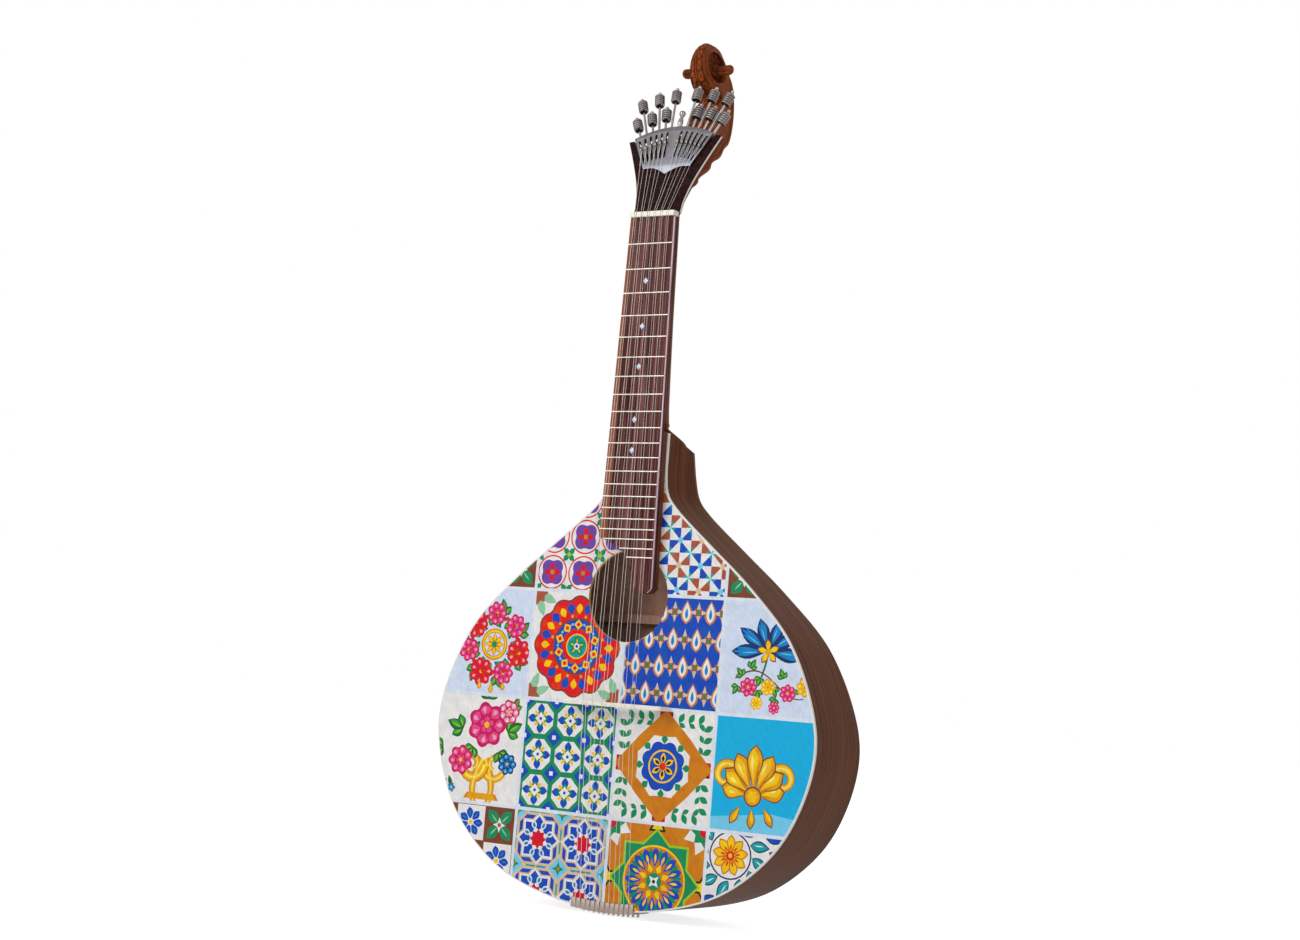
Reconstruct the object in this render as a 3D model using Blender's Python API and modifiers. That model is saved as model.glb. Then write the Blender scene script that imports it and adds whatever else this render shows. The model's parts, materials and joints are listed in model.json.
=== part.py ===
"""Portuguese guitar of the Lisbon form: hollow body, raised fingerboard, twelve strings and a fan tuner.

Units are metres. World +Z runs up the neck, -Y faces the player's audience and X is across.
The world origin is on the centre line at the nut's front edge, in the plane of the fret tops.
"""

import math

import bmesh
import bpy
from mathutils import Vector

MM = 0.001
GAP = 0.3 * MM  # air left between faces that touch on the real instrument

# Scale, neck and fingerboard
SCALE_LENGTH = 440 * MM
FRET_COUNT = 21
FRET_WIDTH = 1.2 * MM
FRET_HEIGHT = 1.0 * MM
FRET_INSET = 0.7 * MM
BOARD_HALF_WIDTH_NUT = 23.4 * MM
BOARD_HALF_WIDTH_END = 30.2 * MM
BOARD_THICKNESS = 6 * MM
BOARD_PAST_FRETS = 30.8 * MM  # tongue below the last fret
BOARD_LENGTH = SCALE_LENGTH * (1 - 2 ** (-FRET_COUNT / 12)) + BOARD_PAST_FRETS
BOARD_CORNER = 1.5 * MM
# The board's free end: shares of its end half width, and millimetres short of its longest point
BOARD_TIP = [
    (1, 4), (0.86, 0), (0.58, 0.2), (0.4, 4.5), (0.285, 13), (0.185, 23), (0, 32), (-0.23, 38.5), (-0.56, 44),
    (-0.9, 47),
]
NECK_DEPTH_NUT = 15 * MM
NECK_DEPTH_HEEL = 17 * MM
HEEL_SWEEP = 28 * MM  # length of neck over which the heel swells
NUT_THICKNESS = 5 * MM
NUT_RISE = 1.2 * MM  # nut top above the fret plane

# Body. Its outline is half widths and heights above the bridge, from the stem down to the tail
SOUNDBOARD_DROP = 12.1 * MM  # soundboard face behind the fret plane
STEM_HALF_WIDTH = 34 * MM
STEM_TOP = 245 * MM
BODY_OUTLINE = [
    (37.2, 190), (45.8, 178), (82.5, 144.5), (122, 109.5), (164.5, 64), (190, 8),
    (195.3, -28), (185.8, -71.5), (163, -113), (117, -152.2), (60, -172.5), (0, -178.8),
]
STEM_BOTTOM = 212 * MM
HEEL_DEPTH = 41 * MM
TAIL_DEPTH = 96.5 * MM
BACK_ARCH = 2.1
HEEL_LEAN = 0.349  # slope of the joint between heel and body
HEEL_END = STEM_TOP - HEEL_LEAN * HEEL_DEPTH
TAIL_END = BODY_OUTLINE[-1][1] * MM
BOARD_PLATE = 3 * MM
BACK_PLATE = 3 * MM
RIB_WALL = 2.5 * MM
BINDING_WIDTH = 2.5 * MM
SOUND_HOLE_RADIUS = 41 * MM
SOUND_HOLE_UP = 97 * MM

# Inner woodwork
LINING_WIDTH = 5 * MM
LINING_HEIGHT = 12 * MM
BRACE_WIDTH = 8 * MM
BRACE_HEIGHT = 12 * MM
TOP_BRACES = {"top_brace_upper": 148 * MM, "top_brace_lower": 44 * MM}
BACK_BRACES = {"back_brace_upper": 80 * MM, "back_brace_lower": -70 * MM}
NECK_BLOCK_END = 203 * MM
LINING_START = NECK_BLOCK_END - 5 * MM
TAIL_BLOCK_HALF = 30 * MM
TAIL_BLOCK_THICKNESS = 16 * MM

# Bridge and tail comb
BRIDGE_HEIGHT = 18.1 * MM
BRIDGE_HALF_LENGTH = 51 * MM
BRIDGE_THICKNESS = 3.8 * MM
BRIDGE_SHIFT = 2 * MM
BRIDGE_FOOT = 15 * MM
BRIDGE_ARCH = 8.5 * MM
BRIDGE_CORNER = 1.5 * MM
COMB_THICKNESS = 1.5 * MM
COMB_LIP = 7 * MM
COMB_DROP = 26 * MM
COMB_SLOT = 0.9 * MM
COMB_SLOT_DROP = 2 * MM
COMB_MARGIN = 4.5 * MM
COMB_PIN_DROP = 15 * MM
COMB_PIN = 1.6 * MM
COMB_PIN_REACH = 3 * MM

# Head, leaning back from the nut. Its flare is millimetres wider than the nut, and distances up its face
HEAD_LEAN = math.radians(16)
HEAD_START = NUT_THICKNESS - 1 * MM
HEAD_DROP = FRET_HEIGHT + BOARD_THICKNESS - 1 * MM
HEAD_FLARE = [(0.6, 1.7), (1, 12), (2.9, 22), (6.6, 35), (12.4, 50), (18.8, 65), (25.2, 79)]
VENEER_THICKNESS = 3 * MM
HEAD_THICKNESS = 16 * MM
HEAD_BINDING = 1.5 * MM
HEAD_CROSS = 0.8 * MM

# Fan tuner: radii are from the fan's centre, which lies where the head's face starts
STRING_COUNT = 12
FAN_FIRST = math.radians(5.05)
FAN_STEP = math.radians(3.95)
FAN_EDGE = FAN_FIRST + FAN_STEP * (STRING_COUNT / 2 - 1) + math.radians(2.7)
FAN_TOP = 91 * MM
FAN_CORNER = 53.3 * MM
FAN_POINT = 40.5 * MM
FAN_THICKNESS = 2 * MM
BAR_THICKNESS = 3.3 * MM
BAR_DEPTH = 6.2 * MM
BAR_OUTER = FAN_TOP - 0.4 * MM
BAR_INNER = BAR_OUTER - BAR_THICKNESS
HEAD_TOP = BAR_INNER - 0.8 * MM
SLOT_LENGTH = 25.5 * MM
SLOT_OUTER = BAR_INNER - 2.3 * MM
SLOT_INNER = SLOT_OUTER - SLOT_LENGTH
RUNNING_CLEARANCE = 0.3 * MM
HOOK_PLATE = 1.3 * MM
SLOT_WIDTH = HOOK_PLATE + 2 * RUNNING_CLEARANCE
ROD_DEPTH = 3.2 * MM  # rod axis below the head's face
ROD_RADIUS = 1.1 * MM
ROD_END = SLOT_INNER - 1.5 * MM
POCKET_DEPTH = 8 * MM
POCKET_INNER = ROD_END - 1.5 * MM
POCKET_EDGE = FAN_EDGE - math.radians(0.7)
KNOB_RADIUS = 4.6 * MM
KNOB_LENGTH = 12 * MM
KNOB_SHORT_REACH = 18 * MM
KNOB_LONG_REACH = 36.7 * MM
# Each knob's domed end and ball tip: shares of its radius, and millimetres past its cylinder's end
KNOB_TIP = [(0, 3), (0.26, 2.4), (0.28, 1.4), (0.17, 0.9), (0.6, 0), (0.95, -1.2), (1, -2)]
HOOK_RADIUS = (SLOT_INNER + SLOT_OUTER) / 2
HOOK_WIDTH = 3.5 * MM
HOOK_LENGTH = 5 * MM
HOOK_HEIGHT = 5 * MM
HOOK_RISE = 4.6 * MM
HOOK_REACH = 3.8 * MM
FINIAL_PROFILE = [
    (0, 15.5), (1.4, 15), (2.3, 13.4), (1.9, 11.6), (1, 10.6), (1.9, 8), (2.1, 5.5), (1.2, 2.6), (2.6, 1.8),
    (2.8, 0), (0, 0),
]

# Strings: gauge radii and the courses' spread at each support
STRING_RADII = [r * MM for r in (0.30, 0.16, 0.25, 0.15, 0.21, 0.14, 0.16, 0.16, 0.13, 0.13, 0.11, 0.11)]
COURSE_AT_NUT = 6.8 * MM
PAIR_AT_NUT = 2 * MM
COURSE_AT_BRIDGE = 10 * MM
PAIR_AT_BRIDGE = 3.3 * MM
STRING_AT_COMB = 5 * MM

# Scroll: distances up the head's face and depths behind it, in millimetres
SCROLL_HALF_WIDTH = 13 * MM
SCROLL_FRONT = [
    (93.4, 21.1), (103.9, 28.5), (117.6, 32.9), (128, 33), (142.6, 40.2), (150.5, 43.5), (154.7, 34.5),
]
SCROLL_BACK = [
    (186.5, 41.5), (172.6, 55.9), (153.9, 66.9), (134, 72.5), (116.6, 72.4), (107.4, 66.9), (96.6, 63.7),
    (83.2, 52.3), (76.1, 51.5), (56.6, 36.6), (53, 37.1), (34.8, 23.2), (24.6, 19.5),
]
SCROLL_FOOT = 11 * MM
VOLUTE_CENTRE = (171.7 * MM, 25.7 * MM)
VOLUTE_RADIUS = 22 * MM
VOLUTE_START = math.radians(205)
VOLUTE_END = math.radians(-15)
EYE_RADIUS = 15 * MM
EYE_FLOOR = 8 * MM
EYE_RIM = 15.5 * MM
BOSS_RADIUS = 4.5 * MM
BOSS_REACH = 27 * MM

BRIDGE_Z = -SCALE_LENGTH
MERGE = 0.01 * MM
parts = bpy.data.collections.new("portuguese_guitar")
cutters = bpy.data.collections.new("cutters")


def clear_scene():
    for item in list(bpy.data.objects):
        bpy.data.objects.remove(item, do_unlink=True)
    for collection in (parts, cutters):
        bpy.context.scene.collection.children.link(collection)
    cutters.hide_render = True


def material(name, colour, roughness, metallic=0.0):
    made = bpy.data.materials.new(name)
    made.use_nodes = True
    shader = made.node_tree.nodes["Principled BSDF"]
    shader.inputs["Base Color"].default_value = (*colour, 1)
    shader.inputs["Roughness"].default_value = roughness
    shader.inputs["Metallic"].default_value = metallic
    return made


def frame(name, place, turn, parent=None):
    """An empty that carries pieces: a body, neck, head or tuner ray frame."""
    empty = bpy.data.objects.new(name, None)
    empty.location = place
    empty.rotation_euler = turn
    empty.parent = parent
    parts.objects.link(empty)
    return empty


def place_object(name, data, finish, parent, collection=parts):
    made = bpy.data.objects.new(name, data)
    if finish:
        data.materials.append(finish)
    made.parent = parent
    collection.objects.link(made)
    if collection is cutters:
        made.hide_render = True
        made.display_type = "WIRE"
    return made


def plate(name, loops, low, high, finish, parent, axis="Z", collection=parts):
    """A flat outline, with holes as further loops, filled and extruded from low to high along an axis."""
    curve = bpy.data.curves.new(name, "CURVE")
    curve.dimensions = "2D"
    curve.fill_mode = "BOTH"
    curve.extrude = (high - low) / 2
    for loop in loops:
        spline = curve.splines.new("POLY")
        spline.points.add(len(loop) - 1)
        for point, (x, y) in zip(spline.points, loop):
            point.co = (x, y, 0, 1)
        spline.use_cyclic_u = True
    made = place_object(name, curve, finish, parent, collection)
    middle = (low + high) / 2
    if axis == "Z":
        made.location = (0, 0, middle)
    elif axis == "X":
        made.rotation_euler = (math.pi / 2, 0, math.pi / 2)
        made.location = (middle, 0, 0)
    else:
        made.rotation_euler = (math.pi / 2, 0, 0)
        made.location = (0, middle, 0)
    return made


def as_mesh(made):
    """The same object as a mesh, for a Boolean, with the curve's caps welded to its sides."""
    graph = bpy.context.evaluated_depsgraph_get()
    graph.update()
    mesh = bpy.data.meshes.new_from_object(made.evaluated_get(graph))
    shape = bmesh.new()
    shape.from_mesh(mesh)
    bmesh.ops.remove_doubles(shape, verts=shape.verts, dist=MERGE)
    shape.to_mesh(mesh)
    shape.free()
    name, collection, parent = made.name, made.users_collection[0], made.parent
    world = made.matrix_world.copy()
    bpy.data.objects.remove(made, do_unlink=True)
    solid = place_object(name, mesh, None, parent, collection)
    solid.matrix_world = world
    return solid


def mesh_object(name, points, faces, finish, parent, collection=parts, smooth=False):
    mesh = bpy.data.meshes.new(name)
    mesh.from_pydata([tuple(point) for point in points], [], faces)
    shape = bmesh.new()
    shape.from_mesh(mesh)
    bmesh.ops.recalc_face_normals(shape, faces=shape.faces)
    shape.to_mesh(mesh)
    shape.free()
    if smooth:
        mesh.shade_smooth()
    return place_object(name, mesh, finish, parent, collection)


def loft(name, rings, finish, parent, closed=False, smooth=False, collection=parts):
    """Skin over rings of equal point counts, with end caps unless the rings close on themselves."""
    count = len(rings[0])
    points = [point for ring in rings for point in ring]
    spans = len(rings) if closed else len(rings) - 1
    faces = []
    for span in range(spans):
        here, there = span * count, (span + 1) % len(rings) * count
        for side in range(count):
            other = (side + 1) % count
            faces.append((here + side, here + other, there + other, there + side))
    if not closed:
        faces.append(tuple(range(count)))
        faces.append(tuple(range(len(points) - count, len(points))))
    return mesh_object(name, points, faces, finish, parent, collection, smooth)


def box(name, low, high, finish, parent, collection=parts):
    """A primitive cube stretched between two corners."""
    mesh = bpy.data.meshes.new(name)
    shape = bmesh.new()
    add_box(shape, low, high)
    shape.to_mesh(mesh)
    shape.free()
    return place_object(name, mesh, finish, parent, collection)


def turned(name, profile, finish, parent, steps=12, collection=parts):
    """A profile of (radius, height) from top to bottom, swept round local Z by a Screw modifier."""
    mesh = bpy.data.meshes.new(name)
    mesh.from_pydata([(r, 0, h) for r, h in profile], [(i, i + 1) for i in range(len(profile) - 1)], [])
    made = place_object(name, mesh, finish, parent, collection)
    sweep = made.modifiers.new("Turn", "SCREW")
    sweep.steps = sweep.render_steps = steps
    sweep.use_merge_vertices = True
    sweep.merge_threshold = MERGE
    sweep.use_smooth_shade = True
    return made


def cylinder(name, radius, length, parent, centres):
    """A cutter of round bars along local Z, one at each centre."""
    shape = bmesh.new()
    for centre in centres:
        add_bar(shape, radius, length, Vector(centre), Vector((0, 0, 1)))
    return bmesh_cutter(name, shape, parent)


def add_bar(shape, radius, length, centre, aim, segments=12):
    """A round bar along a direction, added to a bmesh."""
    made = bmesh.ops.create_cone(
        shape, cap_ends=True, segments=segments, radius1=radius, radius2=radius, depth=length
    )["verts"]
    bmesh.ops.rotate(shape, cent=(0, 0, 0), matrix=aim.to_track_quat("Z", "Y").to_matrix(), verts=made)
    bmesh.ops.translate(shape, vec=centre, verts=made)


def add_box(shape, low, high):
    """A cube between two corners, added to a bmesh."""
    low, high = Vector(low), Vector(high)
    made = bmesh.ops.create_cube(shape, size=1)["verts"]
    bmesh.ops.scale(shape, vec=high - low, verts=made)
    bmesh.ops.translate(shape, vec=(low + high) / 2, verts=made)


def bmesh_cutter(name, shape, parent):
    mesh = bpy.data.meshes.new(name)
    shape.to_mesh(mesh)
    shape.free()
    return place_object(name, mesh, None, parent, cutters)


def boolean(target, cutter, operation="DIFFERENCE"):
    step = target.modifiers.new(operation.title(), "BOOLEAN")
    step.operation = operation
    step.object = cutter
    step.solver = "EXACT"


def smooth_line(points, steps, before=None, after=None):
    """Centripetal Catmull-Rom curve through the points, with phantom neighbours at the ends."""
    points = [Vector(p) for p in points]
    start = Vector(before) if before else points[0] * 2 - points[1]
    finish = Vector(after) if after else points[-1] * 2 - points[-2]
    chain = [start, *points, finish]
    line = []
    for a, b, c, d in zip(chain, chain[1:], chain[2:], chain[3:]):
        t1 = (b - a).length ** 0.5
        t2 = t1 + (c - b).length ** 0.5
        t3 = t2 + (d - c).length ** 0.5
        for step in range(steps):
            t = t1 + (t2 - t1) * step / steps
            ab = a.lerp(b, t / t1)
            bc = b.lerp(c, (t - t1) / (t2 - t1))
            cd = c.lerp(d, (t - t2) / (t3 - t2))
            abc = ab.lerp(bc, t / t2)
            bcd = bc.lerp(cd, (t - t1) / (t3 - t1))
            line.append(abc.lerp(bcd, (t - t1) / (t2 - t1)))
    return [*line, points[-1]]


def offset(line, distance):
    """The open line moved to its left by a distance, mitred at each point."""
    moved = []
    for i, point in enumerate(line):
        back = (point - line[max(i - 1, 0)]).normalized() if i else (line[1] - point).normalized()
        ahead = (line[min(i + 1, len(line) - 1)] - point).normalized() if i + 1 < len(line) else back
        along = (back + ahead).normalized()
        scale = distance / max(along.dot(back), 0.5)
        moved.append(point + Vector((-along.y, along.x)) * scale)
    return moved


def mirrored(line):
    """A closed outline from a right half, whose points on the centre line are kept once."""
    left = [Vector((-p.x, p.y)) for p in reversed(line) if p.x > MERGE]
    return [*line, *left]


def arc(radius, start, end, count, centre=(0, 0)):
    """Points on a circle, with angles measured from local Y towards X."""
    turn = [start + (end - start) * i / (count - 1) for i in range(count)]
    return [Vector((centre[0] + radius * math.sin(a), centre[1] + radius * math.cos(a))) for a in turn]


def body_half():
    """Right half of the body's outline, stem top to tail."""
    points = [(x * MM, y * MM) for x, y in BODY_OUTLINE]
    points.insert(0, (STEM_HALF_WIDTH, STEM_BOTTOM))
    tail_mirror = (-points[-2][0], points[-2][1])
    curve = smooth_line(points, 4, before=(STEM_HALF_WIDTH, STEM_TOP), after=tail_mirror)
    return [Vector((STEM_HALF_WIDTH, STEM_TOP)), *curve]


def half_width(y, inset=0.0):
    """Body half width at a height above the bridge."""
    half = offset(body_half(), -inset) if inset else body_half()
    for upper, lower in zip(half, half[1:]):
        if upper.y >= y >= lower.y:
            return upper.lerp(lower, (upper.y - y) / max(upper.y - lower.y, 1e-9)).x
    return half[0].x if y > half[0].y else 0.0


def depth(y):
    """Body depth behind the soundboard's face: a back that arches lengthwise."""
    share = max(y - TAIL_END, 0) / (HEEL_END - TAIL_END)
    return TAIL_DEPTH - (TAIL_DEPTH - HEEL_DEPTH) * share**BACK_ARCH


def heel_y(below):
    """Height above the bridge of the heel joint's plane, at a depth below the soundboard's face."""
    return STEM_TOP - HEEL_LEAN * below


def at_heel(y, level):
    """The height y, held below the heel joint's plane, and the depth that level gives there."""
    below = level(y)
    for _ in range(8):
        y = min(y, heel_y(below))
        below = level(y)
    return y, below


def board_half_width(y):
    """Fingerboard half width at a distance below the nut."""
    return BOARD_HALF_WIDTH_NUT + (BOARD_HALF_WIDTH_END - BOARD_HALF_WIDTH_NUT) * y / BOARD_LENGTH


def board_tip():
    """The fingerboard's free end, from its long treble tongue up to its short bass side."""
    end = SCALE_LENGTH - BOARD_LENGTH
    points = smooth_line([(share * BOARD_HALF_WIDTH_END, end + y * MM) for share, y in BOARD_TIP], 3)
    corner = points[-1].y + BOARD_CORNER
    return [*points, Vector((-board_half_width(SCALE_LENGTH - corner), corner))]


def board_left(y):
    """Left edge of the fingerboard at a height above the bridge."""
    tip = board_tip()
    if y >= tip[-1].y:
        return -board_half_width(SCALE_LENGTH - y)
    for lower, upper in zip(tip, tip[1:]):
        if lower.y <= y <= upper.y:
            return lower.lerp(upper, (y - lower.y) / (upper.y - lower.y)).x
    return 0.0


def string_x(index, course, pair):
    """Sideways place of a string, from the spacing of its courses and of the pair."""
    return (index // 2 - 2.5) * course + (index % 2 - 0.5) * pair


def fan_angle(index):
    """Angle of a tuner ray from the head's centre line, positive towards the treble side."""
    side = -1 if index < STRING_COUNT // 2 else 1
    step = STRING_COUNT // 2 - 1 - index if side < 0 else index - STRING_COUNT // 2
    return side * (FAN_FIRST + FAN_STEP * step)


def make_soundboard(body, woods):
    half = offset(body_half(), -BINDING_WIDTH - GAP)
    half[0].y = heel_y(BOARD_PLATE) - BINDING_WIDTH - GAP
    half[-1].x = 0
    hole = arc(SOUND_HOLE_RADIUS, 0, 2 * math.pi * 39 / 40, 40, (0, SOUND_HOLE_UP))
    plate("soundboard", [mirrored(half), hole], -BOARD_PLATE, 0, woods["board"], body)


def make_binding(body, woods):
    outer = body_half()
    outer[0].y = heel_y(BOARD_PLATE)
    inner = offset(outer, -BINDING_WIDTH)
    inner[0].y = outer[0].y - BINDING_WIDTH
    inner[-1].x = 0
    plate("top_binding", [mirrored(outer), mirrored(inner)], -BOARD_PLATE, 0, woods["cream"], body)


def wall_rings(outer, wall, top, foot, side):
    """Cross sections of a bent wall that follows an outline, open at both ends."""
    rings = []
    for a, b in zip(outer, offset(outer, -wall)):
        ring = []
        for point, level in ((a, top), (b, top), (b, foot), (a, foot)):
            y, below = at_heel(point.y, level)
            ring.append((side * point.x, y, -below))
        rings.append(ring)
    return rings


def make_ribs(body, woods):
    outer = body_half()
    outer[-1] = Vector((GAP / 2, outer[-1].y))
    for name, side in (("rib_bass", -1), ("rib_treble", 1)):
        rings = wall_rings(
            outer, RIB_WALL, lambda y: BOARD_PLATE + GAP, lambda y: depth(y) - BACK_PLATE - GAP, side
        )
        for point in range(4):
            x, y, z = rings[-1][point]
            rings[-1][point] = (side * GAP / 2, y, z)
        loft(name, rings, woods["walnut"], body, smooth=True)


def make_back(body, woods):
    outer = body_half()
    rings = []
    for point in outer[:-1]:
        ring = []
        for side, inside in ((-1, 0), (1, 0), (1, BACK_PLATE), (-1, BACK_PLATE)):
            y, below = at_heel(point.y, lambda height: depth(height) - inside)
            ring.append((side * point.x, y, -below))
        rings.append(ring)
    tail = outer[-1]
    points = [p for ring in rings for p in ring]
    faces = []
    for span in range(len(rings) - 1):
        for side in range(4):
            other = (side + 1) % 4
            faces.append((4 * span + side, 4 * span + other, 4 * span + 4 + other, 4 * span + 4 + side))
    last = 4 * (len(rings) - 1)
    points += [(0, tail.y, -depth(tail.y)), (0, tail.y, -depth(tail.y) + BACK_PLATE)]
    low, high = len(points) - 2, len(points) - 1
    faces += [(0, 1, 2, 3), (last, last + 1, low), (last + 2, last + 3, high)]
    faces += [(last + 1, last + 2, high, low), (last + 3, last, low, high)]
    mesh_object("back_plate", points, faces, woods["walnut"], body)


def make_linings(body, woods):
    inset = RIB_WALL + GAP
    half = [p for p in offset(body_half(), -inset) if p.y < LINING_START]
    half[-1].x = 0
    top = BOARD_PLATE + GAP
    back = BACK_PLATE + GAP
    levels = {
        "top_lining": (lambda y: top, lambda y: top + LINING_HEIGHT),
        "back_lining": (lambda y: depth(y) - back - LINING_HEIGHT, lambda y: depth(y) - back),
    }
    for name, (upper, lower) in levels.items():
        right = wall_rings(half, LINING_WIDTH, upper, lower, 1)
        for point in range(4):
            x, y, z = right[-1][point]
            right[-1][point] = (0, y, z)
        left = [[(-x, y, z) for x, y, z in ring] for ring in reversed(right[:-1])]
        loft(name, [*right, *left], woods["spruce"], body)


def brace_reach(y):
    """Half length of a brace that ends just inside the linings."""
    clear = RIB_WALL + LINING_WIDTH + 3 * GAP
    return min(half_width(y + BRACE_WIDTH / 2, clear), half_width(y - BRACE_WIDTH / 2, clear))


def make_braces(body, woods):
    for name, y in TOP_BRACES.items():
        reach = brace_reach(y)
        top = BOARD_PLATE + GAP
        low = (-reach, y - BRACE_WIDTH / 2, -top - BRACE_HEIGHT)
        box(name, low, (reach, y + BRACE_WIDTH / 2, -top), woods["spruce"], body)
    for name, y in BACK_BRACES.items():
        reach = brace_reach(y)
        rings = []
        for x in (-reach, reach):
            ring = []
            for edge, rise in ((-1, 0), (1, 0), (1, BRACE_HEIGHT), (-1, BRACE_HEIGHT)):
                station = y + edge * BRACE_WIDTH / 2
                ring.append((x, station, -depth(station) + BACK_PLATE + 2 * GAP + rise))
            rings.append(ring)
        loft(name, rings, woods["spruce"], body)


def make_blocks(body, woods):
    def seat(y):
        return depth(y) - BACK_PLATE - 2 * GAP

    top = BOARD_PLATE + GAP
    upper_y, upper_foot = at_heel(STEM_TOP, seat)
    profile = [
        (heel_y(top), -top),
        (upper_y, -upper_foot),
        (STEM_BOTTOM, -seat(STEM_BOTTOM)),
        (NECK_BLOCK_END, -seat(NECK_BLOCK_END)),
        (NECK_BLOCK_END, -top),
    ]
    reach = STEM_HALF_WIDTH - RIB_WALL - GAP
    plate("neck_block", [profile], -reach, reach, woods["mahogany"], body, axis="X")
    inner = [p for p in offset(body_half(), -RIB_WALL - 2 * GAP) if p.x < TAIL_BLOCK_HALF and p.y < 0]
    inner[-1].x = 0
    corner = Vector((inner[0].x, inner[-1].y + TAIL_BLOCK_THICKNESS))
    above = top + LINING_HEIGHT + GAP
    below = depth(corner.y) - BACK_PLATE - LINING_HEIGHT - 3 * GAP
    plate("tail_block", [mirrored([corner, *inner])], -below, -above, woods["mahogany"], body)


def make_bridge(body, woods):
    reach = BRIDGE_HALF_LENGTH
    inner = reach - BRIDGE_FOOT
    arch = [(inner - 2 * MM, BRIDGE_ARCH - 3 * MM), (inner - 8 * MM, BRIDGE_ARCH), (0, BRIDGE_ARCH)]
    half = [
        Vector((reach - BRIDGE_CORNER, BRIDGE_HEIGHT)),
        Vector((reach, BRIDGE_HEIGHT - BRIDGE_CORNER)),
        Vector((reach, GAP)),
        Vector((inner, GAP)),
        *smooth_line(arch, 3),
    ]
    thick = BRIDGE_THICKNESS / 2
    made = plate("bridge", [mirrored(half)], -thick, thick, woods["bone"], body, axis="Y")
    made.location.x = BRIDGE_SHIFT


def tail_edge(x):
    """Height above the bridge of the body's tail edge, at a distance from the centre line."""
    half = [p for p in body_half() if p.y < 0]
    for a, b in zip(half, half[1:]):
        if a.x >= abs(x) >= b.x:
            return a.lerp(b, (a.x - abs(x)) / (a.x - b.x)).y
    return half[-1].y


def make_comb(body, woods):
    """The tail comb: a plate lapped over the soundboard's edge and down the tail, slotted for the strings."""
    reach = STRING_AT_COMB * (STRING_COUNT - 1) / 2 + COMB_MARGIN
    thick = COMB_THICKNESS
    bevel = 0.6 * MM
    stations = 8
    rings = []
    for i in range(-stations, stations + 1):
        x = reach * i / stations
        edge = tail_edge(x)
        out = edge - GAP
        rings.append([
            (x, edge + COMB_LIP, GAP),
            (x, edge + COMB_LIP, GAP + thick - bevel),
            (x, edge + COMB_LIP - 2 * bevel, GAP + thick),
            (x, out - thick, GAP + thick),
            (x, out - thick, -COMB_DROP),
            (x, out, -COMB_DROP),
            (x, out, GAP),
        ])
    comb = loft("tail_comb", rings, woods["nickel"], body)
    slots = bmesh.new()
    pins = bmesh.new()
    for index in range(STRING_COUNT):
        x = string_x_at_comb(index)
        edge = tail_edge(x)
        low = (x - COMB_SLOT / 2, edge - 2 * thick, -COMB_SLOT_DROP)
        add_box(slots, low, (x + COMB_SLOT / 2, edge + 2 * COMB_LIP, 2 * thick))
        face = edge - GAP - thick
        low = (x - COMB_PIN / 2, face - COMB_PIN_REACH, -COMB_PIN_DROP - COMB_PIN)
        add_box(pins, low, (x + COMB_PIN / 2, face + thick / 2, -COMB_PIN_DROP))
    boolean(comb, bmesh_cutter("comb_slots", slots, body))
    boolean(comb, bmesh_cutter("comb_pins", pins, body), "UNION")


def string_x_at_comb(index):
    return (index - (STRING_COUNT - 1) / 2) * STRING_AT_COMB


def make_fingerboard(neck, woods):
    """Fingerboard with its frets, thick beyond the body and thinner where it floats over the soundboard."""
    foot = [Vector((-BOARD_HALF_WIDTH_NUT, -GAP)), Vector((BOARD_HALF_WIDTH_NUT, -GAP))]
    tip = [Vector((p.x, p.y + BRIDGE_Z)) for p in board_tip()]
    under = -SOUNDBOARD_DROP + GAP
    neck_side = -FRET_HEIGHT - BOARD_THICKNESS
    board = as_mesh(plate("fingerboard", [[*foot, *tip]], under, -FRET_HEIGHT, woods["rosewood"], neck))
    wide = 2 * BOARD_HALF_WIDTH_END
    low = (-wide, STEM_TOP + BRIDGE_Z, under - BOARD_THICKNESS)
    boolean(board, box("fingerboard_step", low, (wide, wide, neck_side), None, neck, cutters))
    frets = bmesh.new()
    for number in range(1, FRET_COUNT + 1):
        y = SCALE_LENGTH * 2 ** (-number / 12)
        left = board_left(y - FRET_WIDTH / 2) + FRET_INSET
        right = board_half_width(SCALE_LENGTH - y) - FRET_INSET
        middle = y + BRIDGE_Z
        low = (left, middle - FRET_WIDTH / 2, -1.5 * FRET_HEIGHT)
        add_box(frets, low, (right, middle + FRET_WIDTH / 2, 0))
    boolean(board, bmesh_cutter("fret_bars", frets, neck), "UNION")


def make_nut(neck, woods):
    reach = BOARD_HALF_WIDTH_NUT
    under = -FRET_HEIGHT - BOARD_THICKNESS
    made = box("nut", (-reach, 0, under), (reach, NUT_THICKNESS, NUT_RISE), woods["bone"], neck)
    bevel = made.modifiers.new("Bevel", "BEVEL")
    bevel.width = 0.5 * MM
    bevel.segments = 2
    bevel.limit_method = "ANGLE"


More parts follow.
